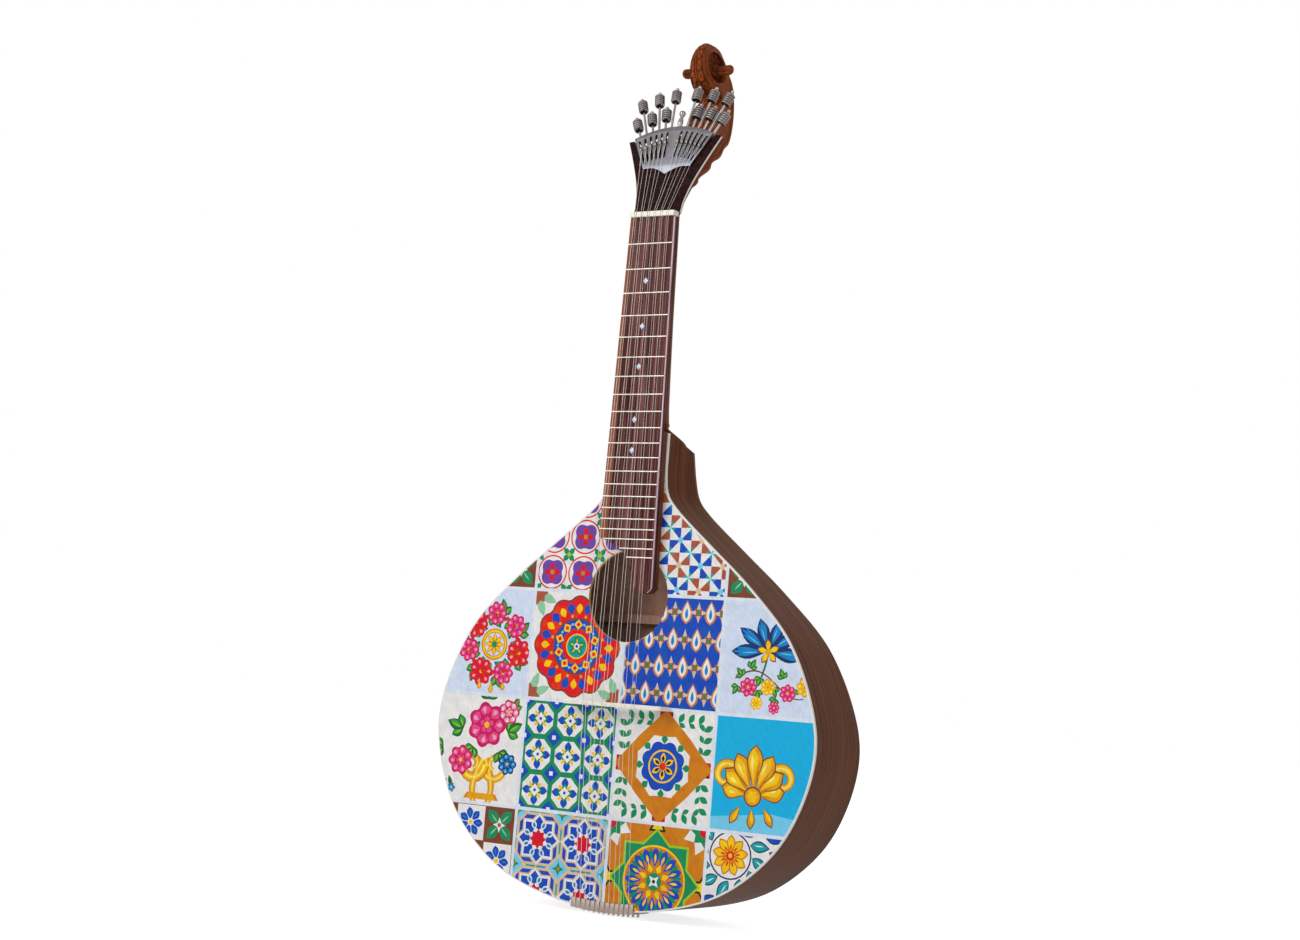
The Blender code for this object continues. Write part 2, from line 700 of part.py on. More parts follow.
def make_neck(neck, woods):
    """Neck and heel: sections that run from a shallow curve to the square stem of the body."""
    seat = FRET_HEIGHT + BOARD_THICKNESS + GAP
    lower = SOUNDBOARD_DROP + HEEL_DEPTH
    foot = heel_y(HEEL_DEPTH) + BRIDGE_Z + GAP
    start = heel_y(seat - SOUNDBOARD_DROP) + BRIDGE_Z + GAP
    sweep, stem = HEEL_SWEEP, STEM_HALF_WIDTH
    wide = board_half_width(-start - sweep)
    head_end = NUT_THICKNESS - NECK_DEPTH_NUT * math.tan(HEAD_LEAN)
    slim = seat + NECK_DEPTH_HEEL
    # Each section: (height, depth) at the front and at the back, half width, and squareness
    sections = [
        ((NUT_THICKNESS, seat), (head_end, seat + NECK_DEPTH_NUT), BOARD_HALF_WIDTH_NUT, 1.3),
        ((start + sweep, seat), (start + sweep, slim), wide, 1.3),
        ((start + 0.64 * sweep, seat), (start + 0.43 * sweep, slim + 3 * MM), wide + 0.8 * MM, 1.7),
        ((start + 0.36 * sweep, seat), (foot + 0.64 * sweep, (slim + lower) / 2), stem - 3 * MM, 2.6),
        ((start + 0.14 * sweep, seat), (foot + 0.32 * sweep, lower - 7 * MM), stem - 0.8 * MM, 5),
        ((start, seat), (foot, lower), stem, 9),
    ]
    rings = []
    for (front_y, front), (back_y, back), width, power in sections:
        side = []
        for i in range(8):
            share = math.sin(math.pi / 2 * i / 7)
            x = width * math.sqrt(1 - share**power)
            side.append((x, front_y + (back_y - front_y) * share, -front - (back - front) * share))
        left = [(-x, y, z) for x, y, z in reversed(side[:-1])]
        rings.append([*side, *left])
    loft("neck", rings, woods["mahogany"], neck, smooth=True)


def head_side(inset=0.0, rise=0.0):
    """Right side of the head's face, from the nut to its top corner, drawn in and cut off at its foot."""
    line = smooth_line([(BOARD_HALF_WIDTH_NUT + flare * MM, y * MM) for flare, y in HEAD_FLARE], 3)
    return [Vector((p.x - inset, max(p.y, line[0].y + rise))) for p in line]


def head_outline(inset=0.0, rise=0.0):
    """Closed outline of the head's face, round at the top inside the tuner's bar."""
    side = head_side(inset, rise)
    corner = side[-1] + Vector((inset - 5 * MM, 0.8 * MM))
    return mirrored([*side, corner, *arc(HEAD_TOP, FAN_EDGE, 0, 7)])


def make_head(head, woods):
    under = -VENEER_THICKNESS - GAP
    block = as_mesh(plate("head_block", [head_outline()], -HEAD_THICKNESS, under, woods["mahogany"], head))
    face = head_outline(HEAD_BINDING + GAP, HEAD_CROSS + GAP)
    veneer = as_mesh(plate("head_veneer", [face], -VENEER_THICKNESS, 0, woods["rosewood"], head))
    outer = FAN_TOP + KNOB_LENGTH
    pocket = [*arc(POCKET_INNER, -POCKET_EDGE, POCKET_EDGE, 9), *arc(outer, POCKET_EDGE, -POCKET_EDGE, 9)]
    cutter = as_mesh(
        plate("tuner_pocket", [pocket], -POCKET_DEPTH, POCKET_DEPTH, None, head, collection=cutters)
    )
    for made in (block, veneer):
        boolean(made, cutter)
    edge = [*reversed(head_side()), *[Vector((-p.x, p.y)) for p in head_side()]]
    inner = head_side(HEAD_BINDING, HEAD_CROSS)
    edge += [*[Vector((-p.x, p.y)) for p in reversed(inner)], *inner]
    plate("head_binding", [edge], -VENEER_THICKNESS, 0, woods["cream"], head)


def volute_arc():
    """The volute's round back and top, as (up, depth) points."""
    up, down = VOLUTE_CENTRE
    turn = [VOLUTE_START + (VOLUTE_END - VOLUTE_START) * i / 13 for i in range(14)]
    return [Vector((up + VOLUTE_RADIUS * math.cos(a), down - VOLUTE_RADIUS * math.sin(a))) for a in turn]


def make_scroll(head, woods):
    """Carved fin, spine and volute behind the head, from a side profile and a turned barrel with two eyes."""
    contact = HEAD_THICKNESS + GAP
    front, back = ([Vector((u * MM, d * MM)) for u, d in line] for line in (SCROLL_FRONT, SCROLL_BACK))
    neck_end = [Vector((SCROLL_FOOT, contact)), Vector((HEAD_TOP, contact))]
    outline = [Vector((p.x, -p.y)) for p in (*neck_end, *front, *volute_arc(), *back)]
    width = SCROLL_HALF_WIDTH
    scroll = as_mesh(plate("scroll", [outline], -width, width, woods["mahogany"], head, axis="X"))
    half = [
        (0, BOSS_REACH),
        (BOSS_RADIUS * 0.7, BOSS_REACH - 1 * MM),
        (BOSS_RADIUS, BOSS_REACH - 4 * MM),
        (BOSS_RADIUS * 0.8, EYE_FLOOR),
        (EYE_RADIUS - 2 * MM, EYE_FLOOR),
        (EYE_RADIUS - 1 * MM, EYE_RIM),
        (EYE_RADIUS + 1 * MM, EYE_RIM),
        (VOLUTE_RADIUS - 1.5 * MM, width - 3 * MM),
        (VOLUTE_RADIUS + 0.8 * MM, 0),
    ]
    profile = [*half, *[(r, -h) for r, h in reversed(half[:-1])]]
    barrel = turned("volute_barrel", profile, None, head, steps=24, collection=cutters)
    floor = EYE_FLOOR - 0.5 * MM
    depth_cut = 2 * width
    centres = [(0, 0, side * (floor + depth_cut / 2)) for side in (-1, 1)]
    recess = cylinder("eye_recess", EYE_RADIUS - 0.5 * MM, depth_cut, head, centres)
    for made in (barrel, recess):
        made.rotation_euler = (0, math.pi / 2, 0)
        made.location = (0, VOLUTE_CENTRE[0], -VOLUTE_CENTRE[1])
    boolean(scroll, recess)
    boolean(scroll, barrel, "UNION")


def fan_plate_outline():
    """Closed outline of the tuner's face, round at the top and drawn to a point below."""
    corner = arc(FAN_CORNER, FAN_EDGE, FAN_EDGE, 2)[0]
    lower = [corner, (corner.x * 0.55, corner.y), (0, FAN_POINT)]
    curve = smooth_line(lower, 4, after=(-8 * MM, FAN_POINT - 7 * MM))
    return mirrored([*arc(FAN_TOP, 0, FAN_EDGE, 9), *curve])


def add_slot(shape, along, across):
    """A prism with rounded ends, added to a bmesh that cuts the radial slots."""
    ring = []
    for end, turn in ((SLOT_INNER, math.pi), (SLOT_OUTER, 0)):
        for p in arc(SLOT_WIDTH / 2, turn - math.pi / 2, turn + math.pi / 2, 4):
            ring.append(along * (end + p.y) + across * p.x)
    lower = [shape.verts.new(p - Vector((0, 0, FAN_THICKNESS))) for p in ring]
    upper = [shape.verts.new(p + Vector((0, 0, 2 * FAN_THICKNESS))) for p in ring]
    shape.faces.new(lower)
    shape.faces.new(reversed(upper))
    for i in range(len(ring)):
        j = (i + 1) % len(ring)
        shape.faces.new((lower[i], upper[i], upper[j], lower[j]))


def make_fan_plate(head, woods):
    """The tuner's slotted face, with the bar behind its top edge that the screws turn in."""
    low, high = GAP, GAP + FAN_THICKNESS
    face = as_mesh(plate("fan_plate", [fan_plate_outline()], low, high, woods["nickel"], head))
    edge = POCKET_EDGE - math.radians(0.5)
    outline = [*arc(BAR_INNER, -edge, edge, 9), *arc(BAR_OUTER, edge, -edge, 17)]
    inside = (low + high) / 2
    bar = as_mesh(plate("fan_bar", [outline], -BAR_DEPTH, inside, None, head, collection=cutters))
    boolean(face, bar, "UNION")
    slots, bores = bmesh.new(), bmesh.new()
    for index in range(STRING_COUNT):
        angle = fan_angle(index)
        along = Vector((math.sin(angle), math.cos(angle), 0))
        add_slot(slots, along, Vector((along.y, -along.x, 0)))
        middle = along * (BAR_INNER + BAR_OUTER) / 2 - Vector((0, 0, ROD_DEPTH))
        add_bar(bores, ROD_RADIUS + RUNNING_CLEARANCE, 3 * BAR_THICKNESS, middle, along)
    bmesh.ops.recalc_face_normals(slots, faces=slots.faces)
    boolean(face, bmesh_cutter("fan_slots", slots, head))
    boolean(face, bmesh_cutter("fan_bores", bores, head))


def make_finial(head, woods):
    profile = [(r * MM, h * MM) for r, h in FINIAL_PROFILE]
    made = turned("finial", profile, woods["nickel"], head)
    made.rotation_euler = (-math.pi / 2, 0, 0)
    made.location = (0, BAR_OUTER + GAP, -ROD_DEPTH)


def make_tuner(index, head, woods):
    """One tuner screw on its ray, with the hook that its thread drives along the slot."""
    ray = frame(f"tuner_ray_{index + 1:02d}", (0, 0, -ROD_DEPTH), (0, 0, -fan_angle(index)), head)
    reach = KNOB_SHORT_REACH if abs(index - (STRING_COUNT - 1) / 2) % 2 > 1 else KNOB_LONG_REACH
    middle = FAN_TOP + reach
    low, high = middle - KNOB_LENGTH / 2, middle + KNOB_LENGTH / 2
    r = KNOB_RADIUS
    profile = [(share * r, high + past * MM) for share, past in KNOB_TIP]
    profile += [(r, low + 1 * MM), (r * 0.85, low), (ROD_RADIUS, low), (ROD_RADIUS, ROD_END), (0, ROD_END)]
    screw = turned(f"tuner_screw_{index + 1:02d}", profile, woods["nickel"], ray)
    screw.rotation_euler = (-math.pi / 2, 0, 0)
    make_hook(index, ray, woods)


def make_hook(index, ray, woods):
    """A threaded block under the tuner's face, with a hooked arm that stands up through the slot."""
    name = f"string_hook_{index + 1:02d}"
    top, thick = ROD_DEPTH, HOOK_PLATE / 2
    low = (-HOOK_WIDTH / 2, HOOK_RADIUS - HOOK_LENGTH / 2, top - HOOK_HEIGHT)
    high = (HOOK_WIDTH / 2, HOOK_RADIUS + HOOK_LENGTH / 2, top)
    hook = box(name, low, high, woods["nickel"], ray)
    tip = top + HOOK_RISE
    arm = [
        (HOOK_RADIUS - thick, top - thick),
        (HOOK_RADIUS + thick, top - thick),
        (HOOK_RADIUS + thick, tip - 2 * thick),
        (HOOK_RADIUS + HOOK_REACH, tip - thick),
        (HOOK_RADIUS + HOOK_REACH, tip + thick),
        (HOOK_RADIUS - thick, tip),
    ]
    cutter = as_mesh(plate(f"{name}_arm", [arm], -thick, thick, None, ray, axis="X", collection=cutters))
    boolean(hook, cutter, "UNION")
    bore = cylinder(f"{name}_bore", ROD_RADIUS + RUNNING_CLEARANCE, 2 * HOOK_LENGTH, ray, [(0, 0, 0)])
    bore.rotation_euler = (-math.pi / 2, 0, 0)
    bore.location = (0, HOOK_RADIUS, 0)
    boolean(hook, bore)


def make_string(index, neck, body, head, woods):
    """One string, from its comb pin over the comb, bridge and nut to its hook."""
    radius = STRING_RADII[index]
    clear = radius + GAP
    x_tail = string_x_at_comb(index)
    x_bridge = string_x(index, COURSE_AT_BRIDGE, PAIR_AT_BRIDGE)
    x_nut = string_x(index, COURSE_AT_NUT, PAIR_AT_NUT)
    angle = fan_angle(index)
    reach = HOOK_RADIUS - HOOK_PLATE / 2 - clear
    comb_out = tail_edge(x_tail) - GAP - COMB_THICKNESS - clear
    comb_top = GAP + COMB_THICKNESS + clear
    route = [
        (body, (x_tail, comb_out, -COMB_PIN_DROP + clear)),
        (body, (x_tail, comb_out, comb_top - clear / 2)),
        (body, (x_tail, comb_out + COMB_THICKNESS, comb_top)),
        (body, (x_bridge, 0, BRIDGE_HEIGHT + clear)),
        (neck, (x_nut, NUT_THICKNESS, NUT_RISE + clear)),
        (head, (reach * math.sin(angle), reach * math.cos(angle), HOOK_RISE / 2)),
    ]
    bpy.context.view_layer.update()
    curve = bpy.data.curves.new(f"string_{index + 1:02d}", "CURVE")
    curve.dimensions = "3D"
    curve.bevel_depth = radius
    curve.bevel_resolution = 1
    curve.use_fill_caps = True
    spline = curve.splines.new("POLY")
    spline.points.add(len(route) - 1)
    for point, (carrier, place) in zip(spline.points, route):
        point.co = (*(carrier.matrix_world @ Vector(place)), 1)
    place_object(f"string_{index + 1:02d}", curve, woods["string"], None)


def main():
    clear_scene()
    finishes = {
        "board": material("printed_soundboard", (0.62, 0.60, 0.55), 0.35),
        "cream": material("cream_binding", (0.80, 0.74, 0.62), 0.45),
        "walnut": material("walnut_sides", (0.13, 0.065, 0.038), 0.45),
        "mahogany": material("mahogany", (0.22, 0.065, 0.022), 0.4),
        "rosewood": material("rosewood", (0.10, 0.035, 0.03), 0.45),
        "spruce": material("spruce", (0.62, 0.45, 0.26), 0.7),
        "bone": material("bone", (0.82, 0.80, 0.74), 0.4),
        "nickel": material("nickel_silver", (0.55, 0.53, 0.50), 0.3, 1.0),
        "string": material("steel_string", (0.70, 0.68, 0.64), 0.25, 1.0),
    }
    quarter = math.pi / 2
    neck = frame("neck_frame", (0, 0, 0), (quarter, 0, 0))
    body = frame("body_frame", (0, SOUNDBOARD_DROP, BRIDGE_Z), (quarter, 0, 0))
    head = frame("head_frame", (0, HEAD_DROP, HEAD_START), (quarter - HEAD_LEAN, 0, 0))
    bpy.context.view_layer.update()
    for make in (make_soundboard, make_binding, make_ribs, make_back, make_linings, make_braces, make_blocks):
        make(body, finishes)
    make_bridge(body, finishes)
    make_comb(body, finishes)
    for make in (make_fingerboard, make_nut, make_neck):
        make(neck, finishes)
    for make in (make_head, make_scroll, make_fan_plate, make_finial):
        make(head, finishes)
    for index in range(STRING_COUNT):
        make_tuner(index, head, finishes)
        make_string(index, neck, body, head, finishes)


main()
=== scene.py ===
"""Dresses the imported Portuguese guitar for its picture: lacquered woods, a printed soundboard and metalwork.

Pieces are drawn in millimetres in the frame of the body, the neck or the head, where Z faces the audience.
Their meshes are then moved into the world, so that every object stays at the origin.
"""

import json
import math

import bmesh
import bpy
from mathutils import Matrix, Vector, geometry


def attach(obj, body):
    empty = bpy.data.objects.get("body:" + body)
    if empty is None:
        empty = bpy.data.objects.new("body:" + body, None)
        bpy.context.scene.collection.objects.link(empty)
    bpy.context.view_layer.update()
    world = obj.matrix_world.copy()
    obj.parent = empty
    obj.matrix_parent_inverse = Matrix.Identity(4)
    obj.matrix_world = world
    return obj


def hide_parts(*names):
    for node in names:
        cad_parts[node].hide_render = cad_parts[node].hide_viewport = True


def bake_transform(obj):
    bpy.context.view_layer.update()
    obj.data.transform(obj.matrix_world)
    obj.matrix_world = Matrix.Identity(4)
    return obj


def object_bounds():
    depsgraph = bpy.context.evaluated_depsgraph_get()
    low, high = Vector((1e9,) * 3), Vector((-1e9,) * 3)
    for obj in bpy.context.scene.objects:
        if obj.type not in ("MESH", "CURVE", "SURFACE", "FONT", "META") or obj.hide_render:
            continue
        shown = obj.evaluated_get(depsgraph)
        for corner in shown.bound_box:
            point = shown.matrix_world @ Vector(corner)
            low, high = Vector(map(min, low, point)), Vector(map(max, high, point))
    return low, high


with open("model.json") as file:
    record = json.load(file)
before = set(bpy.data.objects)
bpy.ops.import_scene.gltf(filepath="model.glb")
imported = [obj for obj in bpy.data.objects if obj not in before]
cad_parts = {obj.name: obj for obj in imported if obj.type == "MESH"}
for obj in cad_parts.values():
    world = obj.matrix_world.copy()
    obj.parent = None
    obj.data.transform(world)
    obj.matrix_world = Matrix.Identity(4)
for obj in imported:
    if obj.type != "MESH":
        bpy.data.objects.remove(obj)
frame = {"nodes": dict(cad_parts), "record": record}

MM = 0.001
nodes = frame["nodes"]
cad_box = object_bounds()

# Sizes shared with the CAD, in millimetres
SCALE_LENGTH = 440
FRET_COUNT = 21
FRET_INSET = 0.7
BOARD_HALF_WIDTH_NUT = 23.4
BOARD_HALF_WIDTH_END = 30.2
BOARD_THICKNESS = 6
FRET_HEIGHT = 1
FRET_WIRE_WIDTH = 1.5
FRET_WIRE_DEPTH = 1.9  # crown and tang together
DOT_FRETS = (3, 5, 7, 10, 12)
DOT_SHIFT = -1.8  # from the centre line
DOT_HALF_WIDTH, DOT_HALF_LENGTH = 2.5, 3.1
BOARD_LENGTH = SCALE_LENGTH * (1 - 2 ** (-FRET_COUNT / 12)) + 30.8
BOARD_TIP = [
    (1, 4), (0.86, 0), (0.58, 0.2), (0.4, 4.5), (0.285, 13), (0.185, 23), (0, 32), (-0.23, 38.5), (-0.56, 44),
    (-0.9, 47),
]
NUT_THICKNESS = 5
NUT_RISE = 1.2
NECK_DEPTH_NUT = 15
NECK_DEPTH_HEEL = 17
HEEL_SWEEP = 20  # length of neck over which the heel swells
EDGE_SHOWN = 1.35  # width of edging that the printed film leaves bare
STEM_LEAN = 5  # how far the sides lean in at the soundboard's upper end
SOUNDBOARD_DROP = 12.1
STEM_HALF_WIDTH = 34
STEM_TOP = 245
STEM_BOTTOM = 212
BODY_OUTLINE = [
    (37.2, 190), (45.8, 178), (82.5, 144.5), (122, 109.5), (164.5, 64), (190, 8),
    (195.3, -28), (185.8, -71.5), (163, -113), (117, -152.2), (60, -172.5), (0, -178.8),
]
HEEL_DEPTH = 41
TAIL_DEPTH = 96.5
BACK_ARCH = 2.1
HEEL_LEAN = 0.349
HEEL_END = STEM_TOP - HEEL_LEAN * HEEL_DEPTH
TAIL_END = -178.8
PLATE = 3
RIB_WALL = 2.5
BINDING_WIDTH = 2.5
SOUND_HOLE_RADIUS = 41
SOUND_HOLE_UP = 97
BRIDGE_HEIGHT = 18.1
BRIDGE_HALF_LENGTH = 51
BRIDGE_THICKNESS = 3.8
BRIDGE_SHIFT = 2
BRIDGE_FOOT = 0.2  # air under the bridge's feet
BRIDGE_CORNER = 1.5
COMB_THICKNESS = 1.5
COMB_PIN_DROP = 15
HEAD_LEAN = math.radians(16)
HEAD_FLARE = [(0.6, 1.7), (1, 12), (2.9, 22), (6.6, 35), (12.4, 50), (18.8, 65), (25.2, 79)]
HEAD_THICKNESS = 16
FACE_BACK = 1.75  # back of the head's rosewood face
LINE_BACK = 3.9  # back of the head's cream line
FAN_FIRST = math.radians(5.05)
FAN_STEP = math.radians(3.95)
FAN_EDGE = math.radians(27.5)
FAN_TOP = 91
FAN_CORNER = 53.3
FAN_POINT = 40.5
BAR_OUTER = 90.6
BAR_INNER = 87.3
HEAD_TOP = 86.5
SLOT_INNER = 59.5
SLOT_OUTER = 85
ROD_DEPTH = 3.2
ROD_RADIUS = 1.1
ROD_END = 58
BORE_RADIUS = 1.4  # holes that the screws turn in
SLOT_HALF = 0.95  # half width of the slots in the tuner's face
POCKET_INNER, POCKET_OUTER = 56.5, 110  # the hollow in the head's face under the tuner
POCKET_EDGE = math.radians(26.8)
BAR_EDGE = math.radians(26.3)
FACE_SEAT, FACE_FRONT = 0.3, 2.3  # the tuner's face, in front of the head's
BAR_BACK = -6.2
KNOB_RADIUS = 4.6
KNOB_LENGTH = 12
KNOB_REACHES = {"short": 18, "long": 36.7}
HOOK_RADIUS = 72.25
HOOK_HALF = 0.6  # half the thickness of a hook's arm
STRING_RADII = [0.30, 0.16, 0.25, 0.15, 0.21, 0.14, 0.16, 0.16, 0.13, 0.13, 0.11, 0.11]
WOUND = (0, 2, 4)
# Pitch of the courses, and of the two strings of one
NUT_COURSES = (6.8, 2)
BRIDGE_COURSES = (10, 3.3)
STRING_COUNT = len(STRING_RADII)


def carrier(place, lean=0.0):
    """Takes millimetres in a frame whose Y runs up and whose Z faces the audience into the world."""
    turn = Matrix.Rotation(math.pi / 2 - lean, 4, "X")
    return Matrix.Translation(Vector(place) * MM) @ turn @ Matrix.Scale(MM, 4)


NECK = carrier((0, 0, 0))
BODY = carrier((0, SOUNDBOARD_DROP, -SCALE_LENGTH))
HEAD = carrier((0, 6, 4), HEAD_LEAN)
SIDEWAYS = Matrix.Rotation(math.pi / 2, 4, "Z") @ Matrix.Rotation(math.pi / 2, 4, "X")
UPRIGHT = Matrix.Rotation(math.pi / 2, 4, "X")
UPRIGHT_FLIP = Matrix(((1, 0, 0, 0), (0, 0, 1, 0), (0, 1, 0, 0), (0, 0, 0, 1)))


def linear(code):
    """A colour written as sRGB hex, as the linear values that a shader takes."""
    parts = [int(code[i:i + 2], 16) / 255 for i in (0, 2, 4)]
    return (*[p / 12.92 if p <= 0.04045 else ((p + 0.055) / 1.055) ** 2.4 for p in parts], 1)


def add(tree, kind, settings=None, links=None):
    """Adds one node. Links take an input, by identifier, name or number, to a value or a socket."""
    node = tree.nodes.new(kind)
    for field, value in (settings or {}).items():
        setattr(node, field, value)
    for key, value in (links or {}).items():
        found = [s for s in node.inputs if s.identifier == key] or [node.inputs[key]]
        if isinstance(value, bpy.types.NodeSocket):
            tree.links.new(value, found[0])
        else:
            found[0].default_value = value
    return node


def ramp(tree, factor, stops):
    """A run of colours along a factor, from (position, hex) stops."""
    made = add(tree, "ShaderNodeValToRGB", links={"Fac": factor})
    steps = made.color_ramp.elements
    while len(steps) < len(stops):
        steps.new(1.0)
    for step, (place, code) in zip(steps, stops):
        step.position, step.color = place, linear(code)
    return made.outputs["Color"]


def finish(name, **constants):
    """A new material with its shader, whose plain numbers are set on the shader itself."""
    made = bpy.data.materials.new(name)
    made.use_nodes = True
    tree = made.node_tree
    shader = tree.nodes["Principled BSDF"]
    for key, value in constants.items():
        shader.inputs[key.replace("_", " ")].default_value = value
    return made, tree, shader


def place_in_mm(tree, scale, turn=(0, 0, 0)):
    """Object coordinates in millimetres, stretched along the axes of a grain."""
    spot = add(tree, "ShaderNodeTexCoord").outputs["Object"]
    turned = add(tree, "ShaderNodeMapping", links={"Vector": spot, "Rotation": turn})
    stretch = [1000 * s for s in scale]
    return add(tree, "ShaderNodeMapping", links={"Vector": turned.outputs[0], "Scale": stretch}).outputs[0]


def noise(tree, spot, scale, **more):
    """Noise over a place, its scale in waves a millimetre."""
    return add(tree, "ShaderNodeTexNoise", links={"Vector": spot, "Scale": scale, **more}).outputs[0]


def calc(tree, operation, *values):
    """One step of arithmetic."""
    return add(tree, "ShaderNodeMath", {"operation": operation}, dict(enumerate(values))).outputs[0]


def mixed(tree, share, first, second):
    """Two numbers mixed by a share."""
    links = {"Factor_Float": share, "A_Float": first, "B_Float": second}
    return add(tree, "ShaderNodeMix", links=links).outputs[0]


def toned(tree, share, colour, code):
    """A colour turned towards another by a share."""
    links = {"Factor_Float": share, "A_Color": colour, "B_Color": linear(code)}
    return add(tree, "ShaderNodeMix", {"data_type": "RGBA"}, links).outputs[2]


def spread(tree, value, low, high, start=0.3, end=0.7):
    """A value's range, as a rule the middle that noise fills, stretched to another."""
    links = {"Value": value, "From Min": start, "From Max": end, "To Min": low, "To Max": high}
    return add(tree, "ShaderNodeMapRange", links=links).outputs[0]


def feed(tree, shader, **values):
    """Links values to the shader's inputs, underscores standing for spaces."""
    for key, value in values.items():
        tree.links.new(value, shader.inputs[key.replace("_", " ")])


def roughen(tree, shader, height, strength, depth):
    """Bumps from a height, with their depth in millimetres."""
    links = {"Height": height, "Strength": strength, "Distance": depth * MM}
    feed(tree, shader, Normal=add(tree, "ShaderNodeBump", links=links).outputs[0])


def timber(name, grain, tones, band, pore, gloss, turn=(0, 0, 0), depth=0.04):
    """Wood: broad bands of colour, fine lines along the grain and short dark pores, under lacquer or oil.

    Grain is the stretch along each axis, 1 across the fibres and a few hundredths along them. Band and pore
    are their widths in millimetres.
    """
    made, tree, shader = finish(name, Specular_IOR_Level=0.04)
    spot = place_in_mm(tree, grain, turn)
    lines = noise(tree, spot, 3.5 / band, Detail=3.0, Roughness=0.6)
    both = mixed(tree, 0.4, noise(tree, spot, 1 / band, Detail=5.0, Distortion=0.5), lines)
    pores = spread(tree, noise(tree, spot, 1 / pore, Detail=2.0), 0.0, 1.0, 0.56, 0.72)
    stained = toned(tree, calc(tree, "MULTIPLY", pores, 0.55), ramp(tree, both, tones), tones[0][1])
    feed(tree, shader, Base_Color=stained, Roughness=spread(tree, both, gloss - 0.05, gloss + 0.08))
    roughen(tree, shader, calc(tree, "SUBTRACT", lines, pores), 0.5, depth)
    return made


def metal(name, tone, bright, gloss, grain, turn=(0, 0, 0), depth=0.01):
    """Metal with fine scratches along one direction, slight smudges in its gloss and a faint tarnish."""
    made, tree, shader = finish(name, Metallic=1.0)
    scratches = noise(tree, place_in_mm(tree, grain, turn), 4.0, Detail=3.0, Roughness=0.7)
    both = mixed(tree, 0.5, scratches, noise(tree, place_in_mm(tree, (1, 1, 1)), 0.12, Detail=3.0))
    colour = ramp(tree, both, [(0.3, tone), (0.7, bright)])
    feed(tree, shader, Base_Color=colour, Roughness=spread(tree, both, gloss - 0.07, gloss + 0.1))
    roughen(tree, shader, scratches, 0.4, depth)
    return made


def speckled(name, stops, grain, size, gloss, depth=0.01, **constants):
    """A pale, dense material such as bone or celluloid, with a soft cloud of two or more tones."""
    made, tree, shader = finish(name, **constants)
    cloud = noise(tree, place_in_mm(tree, grain), 1 / size, Detail=4.0, Distortion=0.4)
    rough = spread(tree, cloud, gloss - 0.05, gloss + 0.08)
    feed(tree, shader, Base_Color=ramp(tree, cloud, stops), Roughness=rough)
    roughen(tree, shader, cloud, 0.3, depth)
    return made


